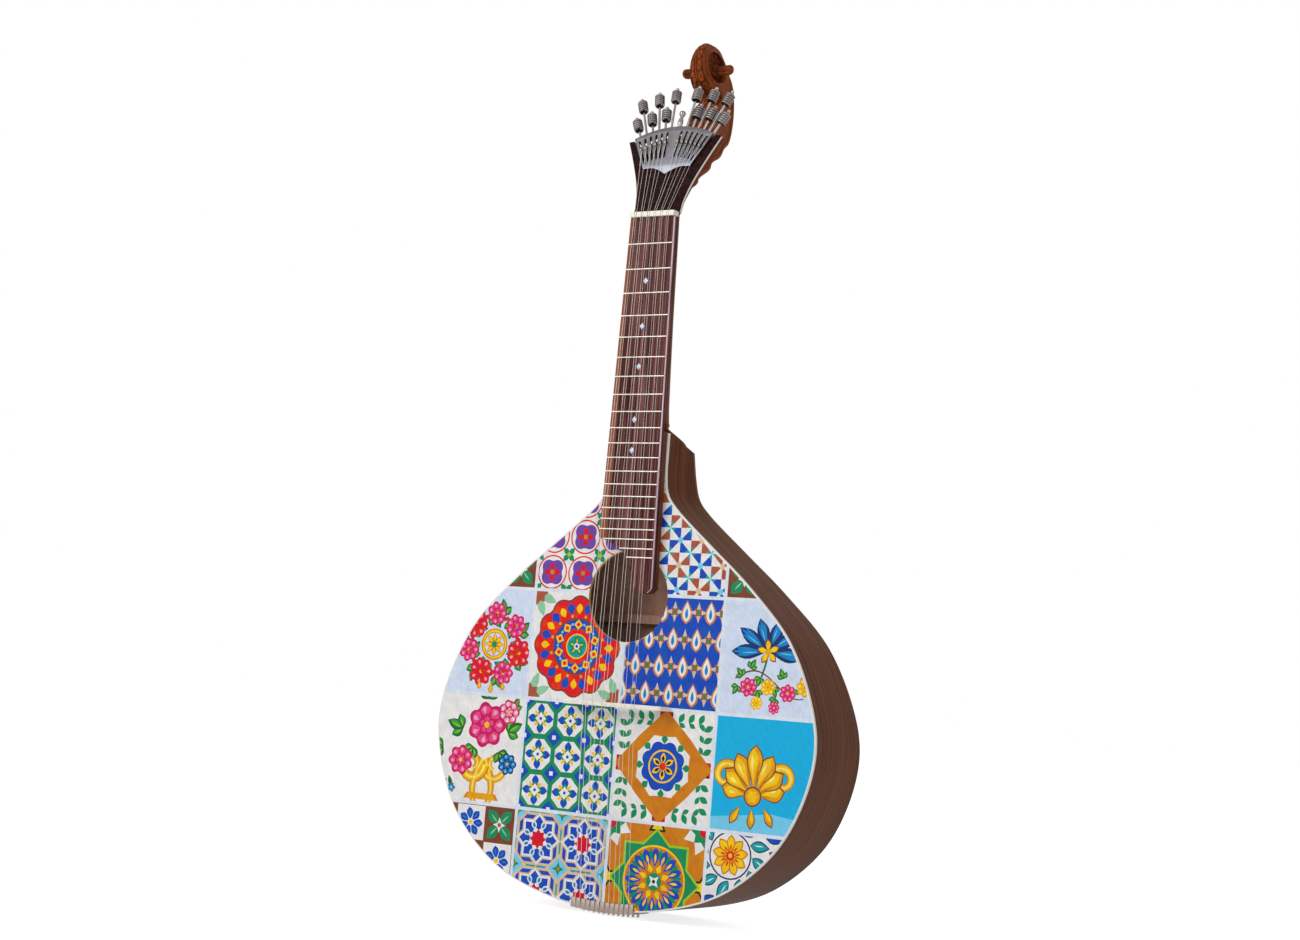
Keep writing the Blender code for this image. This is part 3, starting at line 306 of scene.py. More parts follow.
def make_finishes():
    """The object's materials, each after the real one."""
    head_turn = (-HEAD_LEAN, 0, 0)
    finishes = {
        # Bent walnut under gloss lacquer: fine dark lines that follow the side round the body
        "walnut_side": timber(
            "walnut_lacquered_side", (0.012, 1, 0.012),
            [(0.3, "381C11"), (0.44, "593320"), (0.56, "6F442F"), (0.72, "86573F")], 2.6, 0.35, 0.5,
        ),
        # Bare sawn walnut inside the body, paler than the lacquered side
        "walnut_bare": timber(
            "walnut_bare_sawn", (1, 1, 0.03),
            [(0.3, "C08E76"), (0.45, "D6AA92"), (0.58, "E3BBA5"), (0.72, "EFCDB9")], 4, 0.3, 0.7,
        ),
        # The same walnut sawn flat for the back, its grain running up the body
        "walnut_back": timber(
            "walnut_lacquered_back", (1, 1, 0.04),
            [(0.3, "321A10"), (0.45, "502F1F"), (0.58, "673E2B"), (0.72, "7A4E38")], 5, 0.35, 0.45,
        ),
        # Red-brown mahogany of neck and head block, open-pored under a satin lacquer
        "mahogany": timber(
            "mahogany_lacquered", (1, 1, 0.05),
            [(0.3, "54240F"), (0.5, "7A3A1C"), (0.7, "964E29")], 3.5, 0.3, 0.34, depth=0.05,
        ),
        # The neck's mahogany, browner and closer in grain than the head's
        "mahogany_neck": timber(
            "mahogany_lacquered_neck", (1, 1, 0.05),
            [(0.3, "48220F"), (0.5, "6A3A22"), (0.7, "865036")], 3.5, 0.3, 0.34, depth=0.05,
        ),
        # Carved mahogany: painted shade darkens its hollows, and painted light with rubbing makes its high
        # places redder and brighter
        "carved": timber(
            "mahogany_carved", (1, 1, 0.12),
            [(0.3, "6A2C12"), (0.5, "93461F"), (0.7, "B0602F")], 4, 0.35, 0.3, turn=head_turn, depth=0.06,
        ),
        # Striped rosewood, oiled: near black with reddish-brown lines along the neck
        "rosewood_board": timber(
            "rosewood_oiled_board", (1, 1, 0.012),
            [(0.36, "240D0F"), (0.46, "4A2625"), (0.54, "6F4340"), (0.66, "9A6C65")], 1.9, 0.3, 0.45,
        ),
        # The board's rounded treble edge, polished, with a painted highlight in pale colours where it would
        # reflect the lamps
        "rosewood_edge": timber(
            "rosewood_painted_edge_highlight", (1, 1, 0.012),
            [(0.36, "B392A0"), (0.5, "D8C0CC"), (0.66, "EADCE4")], 1.9, 0.3, 0.3,
        ),
        # The same striped rosewood on the head's face, darker
        "rosewood_head": timber(
            "rosewood_oiled_head", (1, 1, 0.012),
            [(0.38, "0A0304"), (0.48, "1C080A"), (0.56, "331412"), (0.68, "4C2520")], 2.2, 0.3, 0.42,
            turn=head_turn,
        ),
        # Unfinished straight-grained spruce inside the body
        "spruce": timber(
            "spruce_raw", (1, 1, 0.03), [(0.3, "B98F5C"), (0.5, "D2AE7B"), (0.7, "DFC195")], 2, 0.4, 0.6,
        ),
        # Cream celluloid edging, polished, with a faint mottling
        "cream": speckled(
            "celluloid_cream_edging", [(0.3, "E0DCD6"), (0.7, "ECE9E6")], (1, 1, 1), 6, 0.3
        ),
        # Polished bone, off-white with faint streaks along the piece
        "bone": speckled(
            "bone_polished", [(0.3, "DDD6C2"), (0.6, "EFEBDF"), (0.8, "F4F1E8")], (0.15, 1, 1), 1.2, 0.28,
            Subsurface_Weight=0.15, Subsurface_Scale=0.002,
        ),
        # Mother of pearl: a soft play of cool and warm tones
        "pearl": speckled(
            "mother_of_pearl", [(0.3, "9FB2CC"), (0.5, "C3D3EA"), (0.65, "D6E2F4"), (0.8, "BBB9D6")],
            (1, 1, 0.4), 1.5, 0.2, Coat_Weight=0.6,
        ),
        # Brushed nickel silver of the tuner's face, scratched up and down the head
        "nickel_plate": metal(
            "nickel_silver_brushed", "555355", "726F73", 0.42, (3, 3, 0.08), turn=head_turn,
        ),
        # Turned nickel silver, brighter, of knobs, rods and hooks
        "nickel_turned": metal("nickel_silver_turned", "77726F", "ACA7A4", 0.2, (1, 1, 1)),
        # Knurled barrels of the knobs, darker and greyer than the turned metal
        "nickel_knurled": metal("nickel_silver_knurled", "57504D", "8B8481", 0.34, (1, 1, 1)),
        # Wire and blocks of the hooks, tarnished
        "nickel_tarnished": metal("nickel_silver_tarnished", "5F5751", "958B83", 0.3, (1, 1, 1)),
        # Near-black steel on the screws where they show through the slots below the bar: painted shade
        "oiled_thread": metal("steel_thread_painted_shade", "1C1918", "3A3532", 0.4, (1, 1, 1)),
        # Stamped nickel plate of the tail comb, dull and warm
        "nickel_stamped": metal("nickel_plated_stamping", "857770", "A09088", 0.5, (1, 1, 1)),
        # Nickel-silver fret wire, polished by fingers and strings
        "fret_wire": metal("nickel_silver_fret_wire", "AEA9A0", "D9D4CB", 0.28, (0.1, 1, 1)),
        # Plain drawn steel
        "steel": metal("steel_string_plain", "C9C5C0", "E6E3DF", 0.3, (1, 1, 0.05)),
        # Silver-plated copper wound on steel, its turns drawn twice as coarse as the wire so that they show
        "wound": metal("copper_winding_silvered", "B5A89E", "DDD2C8", 0.34, (0.2, 0.2, 2.2), depth=0.08),
    }
    # Painted shade in the carving's hollows and painted light on its high places
    shade_and_rub_carving(finishes["carved"])
    # The orange strip of sapwood down the fingerboard's bass side
    shade_across(finishes["rosewood_board"], "X", -19.5, -21, "9C5E40", 0.7)
    # The tuner's face, with a painted sheen that turns it cooler and paler at its lower point
    shade_across(finishes["nickel_plate"], "Z", 70, 46, "9EA3B0", 0.5)
    return finishes


def base_colour(look):
    """A look's tree and shader, and the colour that its shader takes."""
    shader = look.node_tree.nodes["Principled BSDF"]
    return look.node_tree, shader, shader.inputs["Base Color"].links[0].from_socket


def shade_across(look, axis, start, end, code, most):
    """Turns a look towards another colour between two places in millimetres along an axis."""
    tree, shader, grain = base_colour(look)
    spot = add(tree, "ShaderNodeTexCoord").outputs["Object"]
    across = add(tree, "ShaderNodeSeparateXYZ", links={0: spot}).outputs[axis]
    share = spread(tree, across, 0.0, most, start * MM, end * MM)
    feed(tree, shader, Base_Color=toned(tree, share, grain, code))


def shade_and_rub_carving(look):
    """Painted shade and light on the carving: darkens the hollows and brightens the high places, from the
    height of its relief.
    """
    tree, shader, grain = base_colour(look)
    relief = add(tree, "ShaderNodeAttribute", {"attribute_name": "relief"}).outputs["Fac"]
    links = {"Value": spread(tree, relief, 0.45, 1.35, -1.0, 1.0), "Color": grain}
    feed(tree, shader, Base_Color=add(tree, "ShaderNodeHueSaturation", links=links).outputs[0])


def make_print():
    """The soundboard's printed film under gloss varnish: its colours come from the paint attribute."""
    made, tree, shader = finish(
        "printed_film_varnished", Coat_Weight=0.08, Coat_Roughness=0.15, Specular_IOR_Level=0.15
    )
    paint = add(tree, "ShaderNodeAttribute", {"attribute_name": "paint"}).outputs["Color"]
    slanted = place_in_mm(tree, (1, 1, 0.25), (0, math.radians(35), 0))
    strokes = noise(tree, slanted, 0.7, Detail=4.0)
    wash = noise(tree, place_in_mm(tree, (1, 1, 1)), 0.09, Detail=2.0)
    tone = spread(tree, mixed(tree, 0.45, strokes, wash), 0.84, 1.1)
    links = {"Hue": spread(tree, wash, 0.492, 0.508), "Saturation": 1.06, "Value": tone, "Color": paint}
    painted = add(tree, "ShaderNodeHueSaturation", links=links).outputs[0]
    feed(tree, shader, Base_Color=painted, Roughness=spread(tree, strokes, 0.3, 0.42))
    roughen(tree, shader, strokes, 0.25, 0.02)
    return made


def tidy(mesh):
    """Merges doubled points and turns the faces outwards."""
    shape = bmesh.new()
    shape.from_mesh(mesh)
    bmesh.ops.remove_doubles(shape, verts=shape.verts, dist=0.002 * MM)
    bmesh.ops.dissolve_degenerate(shape, edges=shape.edges, dist=0.001 * MM)
    bmesh.ops.recalc_face_normals(shape, faces=shape.faces)
    shape.to_mesh(mesh)
    shape.free()
    return mesh


def shown(name, data):
    """A new object in the scene."""
    made = bpy.data.objects.new(name, data)
    bpy.context.scene.collection.objects.link(made)
    return made


def baked(holder, tools=()):
    """The mesh that an object's modifiers make. The object and its tools are removed."""
    bpy.context.view_layer.update()
    made = bpy.data.meshes.new_from_object(holder.evaluated_get(bpy.context.evaluated_depsgraph_get()))
    made.name = holder.name
    for item in (*tools, holder):
        bpy.data.objects.remove(item)
    return made


def dress(name, mesh, material, stands_for=(), body="guitar", crease=35):
    """Makes a piece of a mesh that is in place, shades it smooth up to a crease and sets it on its body."""
    if material:
        mesh.materials.clear()
        mesh.materials.append(material)
    mesh.shade_smooth()
    mesh.set_sharp_from_angle(angle=math.radians(crease))
    made = shown(name, mesh)
    if body:
        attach(made, body)
    if stands_for:
        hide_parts(*stands_for)
    return made


def pick_faces(mesh, looks, choose):
    """Adds looks to a mesh and chooses one for each face by its number."""
    for look in looks:
        mesh.materials.append(look)
    for face in mesh.polygons:
        face.material_index = int(choose(face))


def skin(name, rings, where, closed=False, caps=True):
    """A mesh over rings of equal point counts."""
    count = len(rings[0])
    points = [where @ Vector(point) for ring in rings for point in ring]
    faces = []
    for span in range(len(rings) if closed else len(rings) - 1):
        here, there = span * count, (span + 1) % len(rings) * count
        for side in range(count):
            other = (side + 1) % count
            faces.append((here + side, here + other, there + other, there + side))
    if caps and not closed:
        faces.append(tuple(range(count)))
        faces.append(tuple(range(len(points) - count, len(points))))
    mesh = bpy.data.meshes.new(name)
    mesh.from_pydata(points, [], faces)
    return tidy(mesh)


def slab(name, loops, low, high, where, round_over=0.0):
    """A flat outline, with holes as further loops, between two heights, its edges rounded over."""
    curve = bpy.data.curves.new(name, "CURVE")
    curve.dimensions = "2D"
    curve.fill_mode = "BOTH"
    curve.extrude = (high - low) / 2 - round_over
    curve.bevel_depth = round_over
    curve.offset = -round_over
    curve.bevel_resolution = 2
    for loop in loops:
        spline = curve.splines.new("POLY")
        spline.points.add(len(loop) - 1)
        for point, (x, y) in zip(spline.points, loop):
            point.co = (x, y, 0, 1)
        spline.use_cyclic_u = True
    holder = bpy.data.objects.new(name, curve)
    mesh = bpy.data.meshes.new_from_object(holder)
    bpy.data.objects.remove(holder)
    bpy.data.curves.remove(curve)
    mesh.transform(where @ Matrix.Translation((0, 0, (low + high) / 2)))
    return tidy(mesh)


def joined(name, meshes):
    """Several meshes as one."""
    shape = bmesh.new()
    for mesh in meshes:
        shape.from_mesh(mesh)
    made = bpy.data.meshes.new(name)
    shape.to_mesh(made)
    shape.free()
    return made


def smooth_line(points, steps, before=None, after=None):
    """Centripetal Catmull-Rom curve through the points, with phantom neighbours at the ends."""
    points = [Vector(p) for p in points]
    start = Vector(before) if before else points[0] * 2 - points[1]
    end = Vector(after) if after else points[-1] * 2 - points[-2]
    chain = [start, *points, end]
    line = []
    for a, b, c, d in zip(chain, chain[1:], chain[2:], chain[3:]):
        t1 = (b - a).length ** 0.5
        t2 = t1 + (c - b).length ** 0.5
        t3 = t2 + (d - c).length ** 0.5
        for step in range(steps):
            t = t1 + (t2 - t1) * step / steps
            ab = a.lerp(b, t / t1)
            bc = b.lerp(c, (t - t1) / (t2 - t1))
            cd = c.lerp(d, (t - t2) / (t3 - t2))
            abc = ab.lerp(bc, t / t2)
            bcd = bc.lerp(cd, (t - t1) / (t3 - t1))
            line.append(abc.lerp(bcd, (t - t1) / (t2 - t1)))
    return [*line, points[-1]]


def offset(line, distance):
    """The open line moved to its left by a distance, mitred at each point."""
    moved = []
    for i, point in enumerate(line):
        back = (point - line[i - 1]).normalized() if i else (line[1] - point).normalized()
        ahead = (line[i + 1] - point).normalized() if i + 1 < len(line) else back
        along = (back + ahead).normalized()
        scale = distance / max(along.dot(back), 0.5)
        moved.append(point + Vector((-along.y, along.x)) * scale)
    return moved


def mirrored(line):
    """A closed outline from a right half, whose points on the centre line are kept once."""
    return [*line, *[Vector((-p.x, p.y)) for p in reversed(line) if p.x > 0.01]]


def arc(radius, start, end, count, centre=(0, 0)):
    """Points on a circle, with angles measured from local Y towards X."""
    turn = [start + (end - start) * i / (count - 1) for i in range(count)]
    return [Vector((centre[0] + radius * math.sin(a), centre[1] + radius * math.cos(a))) for a in turn]


def body_half(steps=14):
    """Right half of the body's outline, stem top to tail."""
    points = [(STEM_HALF_WIDTH, STEM_BOTTOM), *BODY_OUTLINE]
    mirror = (-points[-2][0], points[-2][1])
    curve = smooth_line(points, steps, before=(STEM_HALF_WIDTH, STEM_TOP), after=mirror)
    return [Vector((STEM_HALF_WIDTH, STEM_TOP)), *curve]


def depth(y):
    """Body depth behind the soundboard's face: a back that arches lengthwise."""
    share = max(y - TAIL_END, 0) / (HEEL_END - TAIL_END)
    return TAIL_DEPTH - (TAIL_DEPTH - HEEL_DEPTH) * share**BACK_ARCH


def heel_y(below):
    """Height above the bridge of the heel joint, at a depth behind the soundboard's face."""
    return STEM_TOP - HEEL_LEAN * below


def drawn_in(x, y, below=0.0):
    """Half width x where the sides lean in: towards the neck and the soundboard, and not on the slim neck."""
    share = min(max((y - 100) / 90, 0), 1) * min(max((STEM_TOP + 6 - y) / 4, 0), 1)
    level = 1 - min(max(below / depth(y), 0), 1)
    lean = STEM_LEAN * share * share * (3 - 2 * share) * level * min(abs(x) / 25, 1)
    return x - math.copysign(lean, x)


def lean_in(mesh):
    """Applies the same lean to a mesh that is in place."""
    for point in mesh.vertices:
        x, y, below = point.co.x / MM, point.co.z / MM + SCALE_LENGTH, point.co.y / MM - SOUNDBOARD_DROP
        point.co.x = drawn_in(x, y, below) * MM
    return mesh


def front_half():
    """Right half of the soundboard's outline."""
    return [Vector((drawn_in(p.x, p.y), p.y)) for p in body_half()]


def at_heel(y, level):
    """The height y, held below the heel joint's plane, and the depth that level gives there."""
    below = level(y)
    for _ in range(8):
        y = min(y, heel_y(below))
        below = level(y)
    return y, below


def board_half_width(y):
    """Half the fingerboard's width at a distance below the nut."""
    return BOARD_HALF_WIDTH_NUT + (BOARD_HALF_WIDTH_END - BOARD_HALF_WIDTH_NUT) * y / BOARD_LENGTH


def board_tip(steps=10):
    """The fingerboard's free end, from its long treble tongue up to its short bass side."""
    end = SCALE_LENGTH - BOARD_LENGTH
    points = smooth_line([(share * BOARD_HALF_WIDTH_END, end + y) for share, y in BOARD_TIP], steps)
    corner = points[-1].y + 1.5
    return [*points, Vector((-board_half_width(SCALE_LENGTH - corner), corner))]


def board_left(y):
    """Left edge of the fingerboard at a height above the bridge."""
    tip = board_tip(3)
    if y >= tip[-1].y:
        return -board_half_width(SCALE_LENGTH - y)
    for lower, upper in zip(tip, tip[1:]):
        if lower.y <= y <= upper.y:
            return lower.lerp(upper, (y - lower.y) / (upper.y - lower.y)).x
    return 0.0


def string_x(index, course, pair):
    """Where a string crosses the nut or the bridge."""
    return (index // 2 - 2.5) * course + (index % 2 - 0.5) * pair


def string_x_at_comb(index):
    return (index - 5.5) * 5


def fan_angle(index):
    """Angle of a tuner ray from the head's centre line, positive towards the treble side."""
    side = -1 if index < 6 else 1
    return side * (FAN_FIRST + FAN_STEP * (5 - index if side < 0 else index - 6))


def ray(index):
    """The frame of a tuner ray, whose Y runs up its screw."""
    return HEAD @ Matrix.Translation((0, 0, -ROD_DEPTH)) @ Matrix.Rotation(-fan_angle(index), 4, "Z")


def tail_edge(x):
    """Height above the bridge of the body's tail edge, at a distance from the centre line."""
    half = [p for p in body_half(4) if p.y < 0]
    for a, b in zip(half, half[1:]):
        if a.x >= abs(x) >= b.x:
            return a.lerp(b, (a.x - abs(x)) / (a.x - b.x)).y
    return half[-1].y


def faces_inwards(face):
    """Whether a face of the sides looks towards the bridge's upright through the body."""
    inwards = Vector((-face.center.x, 0, -SCALE_LENGTH * MM - face.center.z)).normalized()
    return face.normal.dot(inwards) > 0.1


def make_sides(looks):
    """The two bent walnut sides, close under the edging and on the back."""
    outer = body_half()
    outer[-1] = Vector((0.1, outer[-1].y))
    for name, side in (("rib_bass", -1), ("rib_treble", 1)):
        rings = []
        for a, b in zip(outer, offset(outer, -RIB_WALL)):
            ring = []
            for point, level in ((a, lambda y: PLATE), (b, lambda y: PLATE),
                                 (b, lambda y: depth(y) - PLATE), (a, lambda y: depth(y) - PLATE)):
                y, below = at_heel(point.y, level)
                ring.append((side * drawn_in(max(point.x, 0.1), y, below), y, -below))
            rings.append(ring)
        piece = dress(f"bent_{name}", skin(name, rings, BODY), looks["walnut_side"], [name])
        pick_faces(piece.data, [looks["walnut_bare"]], faces_inwards)


def make_back(looks):
    """The arched back plate, its edge rounded over."""
    outer = body_half()
    lines = [(outer, PLATE), (outer, 1.3), (offset(outer, -0.4), 0.4), (offset(outer, -1.3), 0)]
    rings = []
    for i in range(len(outer)):
        half = []
        for line, inside in lines:
            y, below = at_heel(line[i].y, lambda height: depth(height) - inside)
            half.append((max(line[i].x, 0), y, -below))
        rings.append([*half, *[(-x, y, z) for x, y, z in reversed(half)]])
    mesh = skin("arched_back", rings, BODY)
    piece = dress("arched_back", mesh, looks["walnut_back"], ["back_plate"])
    pick_faces(piece.data, [looks["walnut_bare"]], lambda face: face.normal.y < -0.5)


def make_edging(looks):
    """The cream edging round the soundboard."""
    outer = front_half()
    outer[0].y = heel_y(PLATE)
    inner = offset(outer, -BINDING_WIDTH)
    inner[0].y = outer[0].y - BINDING_WIDTH
    inner[-1].x = 0
    mesh = slab("edging", [mirrored(outer), mirrored(inner)], -PLATE, 0.1, BODY, 0.3)
    dress("edging", mesh, looks["cream"], ["top_binding"])


def make_neck(looks):
    """Neck and heel: smooth sections that run from a shallow curve to the square stem of the body."""
    seat = FRET_HEIGHT + BOARD_THICKNESS
    lower = SOUNDBOARD_DROP + HEEL_DEPTH
    foot = heel_y(HEEL_DEPTH) - SCALE_LENGTH + 0.05
    start = heel_y(seat - SOUNDBOARD_DROP) - SCALE_LENGTH + 0.05
    sweep, stem = HEEL_SWEEP, STEM_HALF_WIDTH
    wide = board_half_width(-start - sweep)

    def joint(back):
        """Height of the slanting heel joint at a depth behind the fret plane."""
        return heel_y(back - SOUNDBOARD_DROP) - SCALE_LENGTH

    head_end = NUT_THICKNESS - NECK_DEPTH_NUT * math.tan(HEAD_LEAN)
    slim = seat + NECK_DEPTH_HEEL
    # Each section: height and depth at the front and at the back, half width, and squareness
    sections = [
        (NUT_THICKNESS, seat, head_end, seat + NECK_DEPTH_NUT, BOARD_HALF_WIDTH_NUT, 1.8),
        (start + 98, seat, start + 98, slim - 0.8, board_half_width(-start - 98), 2),
        (start + sweep, seat, start + sweep - 3, slim + 1.5, wide, 2.6),
        (start + 10, seat, joint(slim + 3) + 9, slim + 3, wide + 0.5, 2.8),
        (start + 5.5, seat, joint(slim + 9) + 4.6, slim + 9, stem - 6.3, 3.2),
        (start + 3, seat, joint(lower - 8) + 3.6, lower - 8, stem - 2.2, 5),
        (start + 1.2, seat, joint(lower - 1.5) + 2.4, lower - 1.5, stem - 0.3, 8),
        (start, seat, foot, lower, stem, 9),
    ]
    between = []
    for lead, blend in zip(
        smooth_line([s[:3] for s in sections], 8), smooth_line([s[3:] for s in sections], 8)
    ):
        between.append((*lead, *blend))
    rings = []
    for front_y, front, back_y, back, width, power in between:
        side = []
        for i in range(25):
            share = math.sin(math.pi / 2 * i / 24)
            x = width * math.sqrt(max(1 - share**power, 0))
            side.append((x, front_y + (back_y - front_y) * share, -front - (back - front) * share))
        rings.append([*side, *[(-x, y, z) for x, y, z in reversed(side[:-1])]])
    mesh = lean_in(skin("shaped_neck", rings, NECK))
    dress("shaped_neck", mesh, looks["mahogany_neck"], ["neck"], crease=50)


def make_front_frame(looks):
    """The soundboard's plate and what is glued under its upper end, drawn in like the sides."""
    for node in ("soundboard", "top_lining", "top_brace_upper", "neck_block"):
        wood = "mahogany" if node == "neck_block" else "spruce"
        mesh = lean_in(tidy(nodes[node].data.copy()))
        dress(f"{node}_fitted", mesh, looks[wood], [node])


def make_fingerboard(looks):
    """The rosewood board, thinner where it floats over the soundboard."""
    foot = [Vector((-BOARD_HALF_WIDTH_NUT, 0)), Vector((BOARD_HALF_WIDTH_NUT, 0))]
    tip = [Vector((p.x, p.y - SCALE_LENGTH)) for p in board_tip()]
    end = STEM_TOP - SCALE_LENGTH
    floating = slab("board", [[*foot, *tip]], -FRET_HEIGHT - BOARD_THICKNESS, -FRET_HEIGHT, NECK, 1.0)
    edge = board_half_width(-end)
    under = [Vector((edge, end)), *tip, Vector((-edge, end))]
    lower = slab("board_low", [under], -SOUNDBOARD_DROP + 0.15, -FRET_HEIGHT - BOARD_THICKNESS + 0.2, NECK)
    mesh = joined("fingerboard_plain", [floating, lower])
    piece = dress("fingerboard_plain", mesh, looks["rosewood_board"], ["fingerboard"])

    def layer(face):
        """Neck wood for the lower layer and the painted highlight for the rounded treble edge."""
        if face.center.y > (FRET_HEIGHT + BOARD_THICKNESS - 0.1) * MM:
            return 2
        # Faces of the treble edge turned to the audience take the painted highlight
        return face.normal.y < -0.2 and face.normal.x > 0.2

    pick_faces(piece.data, [looks["rosewood_edge"], looks["mahogany_neck"]], layer)


def socket_named(tree, name):
    """The identifier of a tree's input, which a modifier takes instead of its name."""
    return next(item.identifier for item in tree.interface.items_tree if item.name == name)


def grow(name, mesh, tree, values):
    """Runs a mesh through a Geometry Nodes tree and returns the plain mesh it makes."""
    holder = shown(name, mesh)
    step = holder.modifiers.new("Grow", "NODES")
    step.node_group = tree
    for key, value in values.items():
        step[socket_named(tree, key)] = value
    return baked(holder)


def new_tree(name, inputs):
    """An empty Geometry Nodes tree with a geometry input and output and named inputs for its sizes."""
    tree = bpy.data.node_groups.new(name, "GeometryNodeTree")
    tree.interface.new_socket("Geometry", in_out="INPUT", socket_type="NodeSocketGeometry")
    tree.interface.new_socket("Geometry", in_out="OUTPUT", socket_type="NodeSocketGeometry")
    for label, kind, value in inputs:
        made = tree.interface.new_socket(label, in_out="INPUT", socket_type=kind)
        if value is not None:
            made.default_value = value
    start = tree.nodes.new("NodeGroupInput")
    return tree, start.outputs


def close_tree(tree, geometry, material):
    """Ends a tree in real geometry with its material."""
    real = add(tree, "GeometryNodeRealizeInstances", links={"Geometry": geometry}).outputs[0]
    done = add(tree, "GeometryNodeSetMaterial", links={"Geometry": real, "Material": material}).outputs[0]
    add(tree, "NodeGroupOutput", links={0: done})


def turning_tree():
    """Turns a profile, its X the radius and its Y the height, round local Y, with knurls where Z asks."""
    whole, number = "NodeSocketInt", "NodeSocketFloat"
    tree, given = new_tree("turned_profile", [
        ("Steps", whole, 24), ("Points", whole, 2), ("Teeth", whole, 24), ("Knurl Depth", number, 0.0),
        ("Material", "NodeSocketMaterial", None),
    ])
    rounds = calc(tree, "ADD", given["Steps"], 1.0)
    links = {"Vertices X": rounds, "Vertices Y": given["Points"]}
    grid = add(tree, "GeometryNodeMeshGrid", links=links).outputs["Mesh"]
    index = add(tree, "GeometryNodeInputIndex").outputs[0]
    along = calc(tree, "MODULO", index, given["Points"])
    round_number = calc(tree, "FLOOR", calc(tree, "DIVIDE", index, given["Points"]))
    angle = calc(tree, "MULTIPLY", calc(tree, "DIVIDE", round_number, given["Steps"]), 2 * math.pi)
    place = add(tree, "GeometryNodeInputPosition").outputs[0]
    links = {"Geometry": given["Geometry"], "Value": place, "Index": along}
    sample = add(tree, "GeometryNodeSampleIndex", {"data_type": "FLOAT_VECTOR"}, links).outputs["Value"]
    split = add(tree, "ShaderNodeSeparateXYZ", links={0: sample}).outputs
    wave = calc(tree, "COSINE", calc(tree, "MULTIPLY", angle, given["Teeth"]))
    bite = calc(tree, "MULTIPLY", calc(tree, "MULTIPLY", wave, given["Knurl Depth"]), split["Z"])
    radius = calc(tree, "ADD", split["X"], bite)
    x = calc(tree, "MULTIPLY", radius, calc(tree, "SINE", angle))
    z = calc(tree, "MULTIPLY", radius, calc(tree, "COSINE", angle))
    spot = add(tree, "ShaderNodeCombineXYZ", links={"X": x, "Y": split["Y"], "Z": z}).outputs[0]
    moved = add(tree, "GeometryNodeSetPosition", links={"Geometry": grid, "Position": spot}).outputs[0]
    closed = add(tree, "GeometryNodeMergeByDistance", links={"Geometry": moved, "Distance": 0.003}).outputs[0]
    close_tree(tree, closed, given["Material"])
    return tree


def swept(tree, path, profile):
    """A closed tube of a profile along a path."""
    links = {"Curve": path, "Profile Curve": profile, "Fill Caps": True}
    return add(tree, "GeometryNodeCurveToMesh", links=links).outputs[0]


def wire_tree():
    """Lays a crowned wire along each edge of the drawing, as fret wire is hammered in."""
    number = "NodeSocketFloat"
    tree, given = new_tree("crowned_wire", [
        ("Wire Width", number, 1.2), ("Wire Height", number, 1.0), ("Material", "NodeSocketMaterial", None),
    ])
    lines = add(tree, "GeometryNodeMeshToCurve", links={"Mesh": given["Geometry"]}).outputs[0]
    circle = add(tree, "GeometryNodeCurvePrimitiveCircle", links={"Resolution": 16, "Radius": 0.5}).outputs[0]
    links = {"X": given["Wire Width"], "Y": given["Wire Height"], "Z": 1.0}
    size = add(tree, "ShaderNodeCombineXYZ", links=links).outputs[0]
    profile = add(tree, "GeometryNodeTransform", links={"Geometry": circle, "Scale": size}).outputs[0]
    close_tree(tree, swept(tree, lines, profile), given["Material"])
    return tree


def line_mesh(name, lines):
    """Points joined into open lines."""
    points, edges = [], []
    for line in lines:
        edges += [(len(points) + i, len(points) + i + 1) for i in range(len(line) - 1)]
        points += [tuple(p) for p in line]
    mesh = bpy.data.meshes.new(name)
    mesh.from_pydata(points, edges, [])
    return mesh


def make_frets(tree, looks):
    """Fret wires by the twelfth-root rule, and the pearl lozenges between them."""
    lines = []
    for fret in range(1, FRET_COUNT + 1):
        y = SCALE_LENGTH * 2 ** (-fret / 12)
        left = board_left(y - 0.6) + FRET_INSET
        right = board_half_width(SCALE_LENGTH - y) - FRET_INSET
        lines.append([(left, y - SCALE_LENGTH, -FRET_HEIGHT), (right, y - SCALE_LENGTH, -FRET_HEIGHT)])
    values = {"Wire Width": FRET_WIRE_WIDTH, "Wire Height": FRET_WIRE_DEPTH, "Material": looks["fret_wire"]}
    wires = grow("fret_wires", line_mesh("fret_wires", lines), tree, values)
    wires.transform(NECK)
    dress("fret_wires", tidy(wires), None)
    dots = []
    wide, long = DOT_HALF_WIDTH, DOT_HALF_LENGTH
    for fret in DOT_FRETS:
        y = SCALE_LENGTH * (2 ** (-fret / 12) + 2 ** (-(fret - 1) / 12)) / 2 - SCALE_LENGTH
        outline = [Vector((DOT_SHIFT + x, y + up)) for x, up in ((0, long), (-wide, 0), (0, -long), (wide, 0))]
        dots.append(slab("dot", [outline], -FRET_HEIGHT - 0.5, -FRET_HEIGHT + 0.04, NECK, 0.04))
    dress("pearl_dots", joined("pearl_dots", dots), looks["pearl"])


def notched(places, left, right, top, width=0.45, dip=0.4):
    """The upper edge of a nut or bridge from left to right, with a notch for each string."""
    line = [(left, top)]
    for x in sorted(places):
        line += [(x - width, top), (x - width / 3, top - dip), (x + width / 3, top - dip), (x + width, top)]
    return [Vector(p) for p in (*line, (right, top))]


